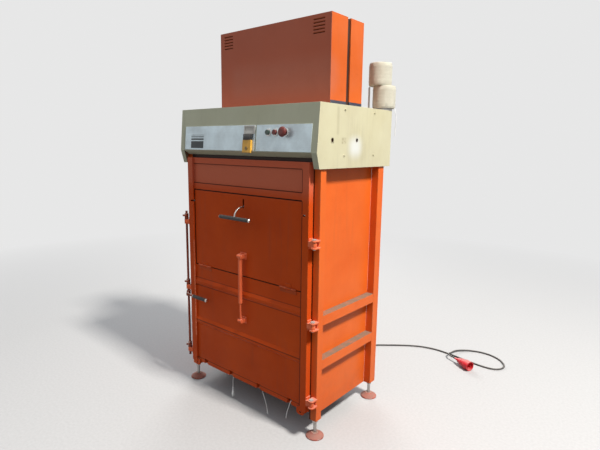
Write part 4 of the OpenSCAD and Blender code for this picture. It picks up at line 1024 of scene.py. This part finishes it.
@dataclass
class Lead:
    """Mains lead with its five-pin plug: down the back, across the floor and up into the plug."""

    diameter: float = 0.013
    length: float = 4.127
    drop: tuple[Point, ...] = (
        (0.300, 0.369, 1.560), (0.300, 0.371, 1.480), (0.300, 0.374, 1.100), (0.300, 0.378, 0.600),
        (0.300, 0.385, 0.200), (0.299, 0.398, 0.110), (0.296, 0.424, 0.048), (0.291, 0.468, 0.015),
        (0.283, 0.530, 0.0075))
    across: tuple[tuple[float, float], ...] = (
        (0.258, 0.630), (0.215, 0.740), (0.170, 0.840), (0.142, 0.920), (0.140, 1.000), (0.172, 1.066),
        (0.252, 1.138), (0.333, 1.206), (0.410, 1.262), (0.488, 1.304), (0.565, 1.328), (0.651, 1.336),
        (0.745, 1.328), (0.836, 1.313), (0.927, 1.297), (1.010, 1.288), (1.073, 1.288), (1.124, 1.304),
        (1.156, 1.340), (1.166, 1.390), (1.148, 1.443), (1.105, 1.494), (1.054, 1.526), (0.991, 1.543),
        (0.916, 1.539))
    rise: tuple[Point, ...] = (
        (0.849, 1.510, 0.0085), (0.792, 1.459, 0.012), (0.760, 1.395, 0.018), (0.7471, 1.3277, 0.0199),
        (0.7483, 1.2793, 0.0281), (0.7744, 1.2438, 0.037), (0.830, 1.217, 0.0375))

    def build(self) -> None:
        route = self.drop + tuple((x, y, self.diameter / 2) for x, y in self.across) + self.rise
        path = smooth_path(route, 8)
        made = tube(path, [self.diameter / 2] * len(path), 12)
        piece = join_mesh("mains_lead", made, LEAD, "frame", 60.0)
        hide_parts("power_cord")
        paint(PLUG_RED, "power_plug")


@dataclass
class LooseTwine:
    """Loose ends of baling twine at the spool and, measured from the front, under the door."""

    diameter: float = 0.004
    spool_end: tuple[Point, ...] = (
        (0.583, 0.448, 2.004), (0.589, 0.451, 1.985), (0.599, 0.452, 1.955), (0.603, 0.451, 1.920),
        (0.600, 0.450, 1.885), (0.597, 0.450, 1.852), (0.600, 0.450, 1.820))
    left_end: tuple[Point, ...] = (
        (-0.123, 0.012, 0.1844), (-0.124, -0.002, 0.184), (-0.125, -0.012, 0.176),
        (-0.126, -0.016, 0.156), (-0.128, -0.016, 0.126), (-0.129, -0.016, 0.106),
        (-0.130, -0.016, 0.056), (-0.131, -0.016, 0.007))
    middle_end: tuple[Point, ...] = (
        (0.142, 0.012, 0.1844), (0.144, -0.002, 0.184), (0.147, -0.010, 0.174),
        (0.151, -0.012, 0.163), (0.179, -0.014, 0.107), (0.195, -0.016, 0.068),
        (0.210, -0.018, 0.019))
    right_end: tuple[Point, ...] = (
        (0.402, 0.012, 0.1844), (0.401, -0.002, 0.184), (0.397, -0.012, 0.174),
        (0.3895, -0.016, 0.146), (0.373, -0.016, 0.098), (0.3655, -0.016, 0.054))
    bulb: tuple[float, ...] = (0.0022, 0.0042, 0.0034, 0.0050, 0.0068, 0.0080, 0.0088, 0.0084, 0.0062, 0.0030)

    def build(self) -> None:
        for name, base, ends in (("spool", 0.0, self.spool_end), ("left", FRONT, self.left_end),
                                 ("middle", FRONT, self.middle_end), ("right", FRONT, self.right_end)):
            route = tuple((x, base + y, z) for x, y, z in ends)
            path = smooth_path(route, 6)
            made = tube(path, [self.diameter / 2] * len(path), 8)
            piece = join_mesh(f"loose_twine_{name}", made, STRAND, "frame", 60.0)
            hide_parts(f"twine_end_{name}")
        line = [Vector((-0.1292 - 0.0002 * k, FRONT - 0.016, 0.090 - 0.009 * k)) for k in range(len(self.bulb))]
        join_mesh("twine_bulb_left", tube(line, list(self.bulb), 14), STRAND, "frame", 60.0)
        Tuft("twine_tuft_left", (-0.1293, FRONT - 0.016, 0.070), 30, 0.062, 0.16, 0.0012).build()
        Tuft("twine_tuft_middle", (0.2, FRONT - 0.0165, 0.052), 8, 0.036, 0.07, 0.0010).build()


@dataclass
class Tuft:
    """Frayed end of a twine, spread out by Geometry Nodes."""

    name: str
    place: Point
    strands: int
    length: float
    spread: float
    radius: float

    def tree(self) -> NodeTree:
        """Builds the tree that hangs thin strands from one point, each at its own slant."""
        tree = Scatter("frayed end", {
            "Strands": "Int", "Length": "Float", "Spread": "Float", "Radius": "Float", "Place": "Vector"})
        given = tree.given
        points = tree.out("GeometryNodeMeshLine", {
            "Count": given["Strands"], "Start Location": given["Place"], "Offset": ORIGIN})
        cone = tree.out("GeometryNodeMeshCone", {
            "Vertices": 5, "Side Segments": 4, "Radius Top": given["Radius"],
            "Radius Bottom": tree.times(given["Radius"], 0.5), "Depth": given["Length"]})
        drop = tree.out("ShaderNodeCombineXYZ", {2: tree.times(given["Length"], -1.0)})
        hung = tree.out("GeometryNodeTransform", {0: cone, "Translation": drop})
        wide = tree.out("ShaderNodeCombineXYZ", {0: given["Spread"], 1: given["Spread"], 2: 3.1})
        slant = tree.out("FunctionNodeRandomValue", {
            0: tree.vector("MULTIPLY", wide, (-1.0, -1.0, -1.0)), 1: wide, "Seed": 5}, data_type="FLOAT_VECTOR")
        shrink = tree.node("FunctionNodeRandomValue", {2: 0.65, 3: 1.0, "Seed": 9}, data_type="FLOAT")
        turned = tree.out("FunctionNodeEulerToRotation", {0: slant})
        return tree.close(Points=points, Instance=hung, Rotation=turned, Scale=shrink.outputs[1])

    def build(self) -> None:
        """Runs the tree and keeps the strands as one plain mesh on the frame."""
        realise(self.name, [self.place], self.tree(), {
            "Strands": self.strands, "Length": self.length, "Spread": self.spread, "Radius": self.radius,
            "Place": self.place, "Finish": STRAND.material()}, "frame")


@dataclass
class Studio:
    """Pale floor, soft light and the camera at the photograph's viewing angle."""

    eye: Point = (2.1332, -2.3598, 1.7463)
    yaw: float = 0.6961
    pitch: float = 0.1694
    roll: float = 0.0137
    lens: float = 27.774
    reach: float = 30.0

    def build(self) -> None:
        """Sets up view, camera, floor, world and lamps."""
        bpy.context.scene.view_settings.view_transform = "Standard"
        self.camera()
        self.floor()
        self.world()
        self.lamp("key", (5.87, -0.26, 9.2), 1.1, 1.2, 1600.0, (1.0, 0.97, 0.93))
        self.lamp("fill", (-3.4, -5.2, 3.4), 1.0, 3.4, 20.0, (0.94, 0.97, 1.0))
        self.lamp("back", (-4.5, 5.0, 4.0), 1.2, 3.4, 260.0, (1.0, 1.0, 1.0))

    def camera(self) -> None:
        """Puts the camera where the photograph was taken from."""
        data = bpy.data.cameras.new("photo_camera")
        data.lens = self.lens
        data.sensor_width = 36.0
        data.clip_end = 60.0
        camera = add_object("photo_camera", data)
        turns = ((self.yaw, "Z"), (math.pi / 2 - self.pitch, "X"), (self.roll, "Z"))
        camera.matrix_world = Matrix.Translation(Vector(self.eye))
        for angle, axis in turns:
            camera.matrix_world = camera.matrix_world @ Matrix.Rotation(angle, 4, axis)
        bpy.context.scene.camera = camera

    def floor(self) -> None:
        """Lays a plain pale floor that marks the object's shadow and fades into the backdrop."""
        corners = [(x * self.reach, y * self.reach, 0.0) for x, y in ((-1, -1), (1, -1), (1, 1), (-1, 1))]
        mesh = bpy.data.meshes.new("studio_floor")
        mesh.from_pydata(corners, [], [(0, 1, 2, 3)])
        material = bpy.data.materials.new("pale floor")
        tree = Tree(Tree.emptied(material))
        rays = tree.node("ShaderNodeLightPath").outputs
        speckle = tree.span(tree.noise(60.0, 6.0), 0.3, 0.7)
        pale = tree.blend(speckle, (0.445, 0.442, 0.435), (0.49, 0.487, 0.48))
        seen = tree.math("MAXIMUM", rays["Is Camera Ray"], rays["Is Glossy Ray"])
        shader = tree.out("ShaderNodeBsdfPrincipled", {
            "Base Color": tree.blend(seen, (0.16, 0.16, 0.155), pale), "Roughness": 0.7, "Specular IOR Level": 0.15})
        far = tree.times(tree.span(tree.length(tree.coords()), 2.6, 6.5), rays["Is Camera Ray"])
        haze = tree.out("ShaderNodeEmission", {"Color": BACKDROP, "Strength": 1.0})
        faded = tree.out("ShaderNodeMixShader", {0: far, 1: shader, 2: haze})
        tree.node("ShaderNodeOutputMaterial", {0: faded})
        mesh.materials.append(material)
        add_object("studio_floor", mesh)

    def world(self) -> None:
        """Gives soft light all round, and a pale background to camera and gloss."""
        world = bpy.data.worlds.new("studio")
        tree = Tree(Tree.emptied(world))
        rays = tree.node("ShaderNodeLightPath").outputs
        mirrored = tree.math("MAXIMUM", rays["Is Glossy Ray"], rays["Is Transmission Ray"])
        seen = tree.math("MAXIMUM", rays["Is Camera Ray"], mirrored)
        upward = tree.span(tree.axis(tree.coords("Generated"), 2), -0.3, 0.9)
        sky = tree.blend(upward, (0.13, 0.14, 0.15), (0.52, 0.55, 0.60))
        glow = tree.out("ShaderNodeBackground", {"Color": tree.blend(seen, sky, BACKDROP), "Strength": 1.0})
        tree.node("ShaderNodeOutputWorld", {0: glow})
        bpy.context.scene.world = world

    def lamp(self, name: str, place: Point, aim: float, size: float, watts: float, colour: Colour) -> None:
        """Adds one square soft light.

        Args:
            name: The lamp's name.
            place: Where it hangs.
            aim: Height of the point on the Z axis that it faces.
            size: Length of its side.
            watts: Its power.
            colour: Its colour.
        """
        data = bpy.data.lights.new(name, "AREA")
        data.shape = "SQUARE"
        data.size = size
        data.energy = watts
        data.color = colour
        light = add_object(name, data)
        light.location = place
        light.rotation_euler = (Vector((0.0, 0.0, aim)) - Vector(place)).to_track_quat("-Z", "Y").to_euler()


def main() -> None:
    """Builds every sub-assembly in order and reports it."""
    logging.basicConfig(level=logging.INFO, format="%(message)s")
    for part in (Studio(), Lead(), LooseTwine(), SheetBody(), Head(), Hoods(), Controls(), Press(), Door(), Hatch(),
                 Spools()):
        part.build()
        LOG.info("built %s", type(part).__name__)


if __name__ == "__main__":
    main()
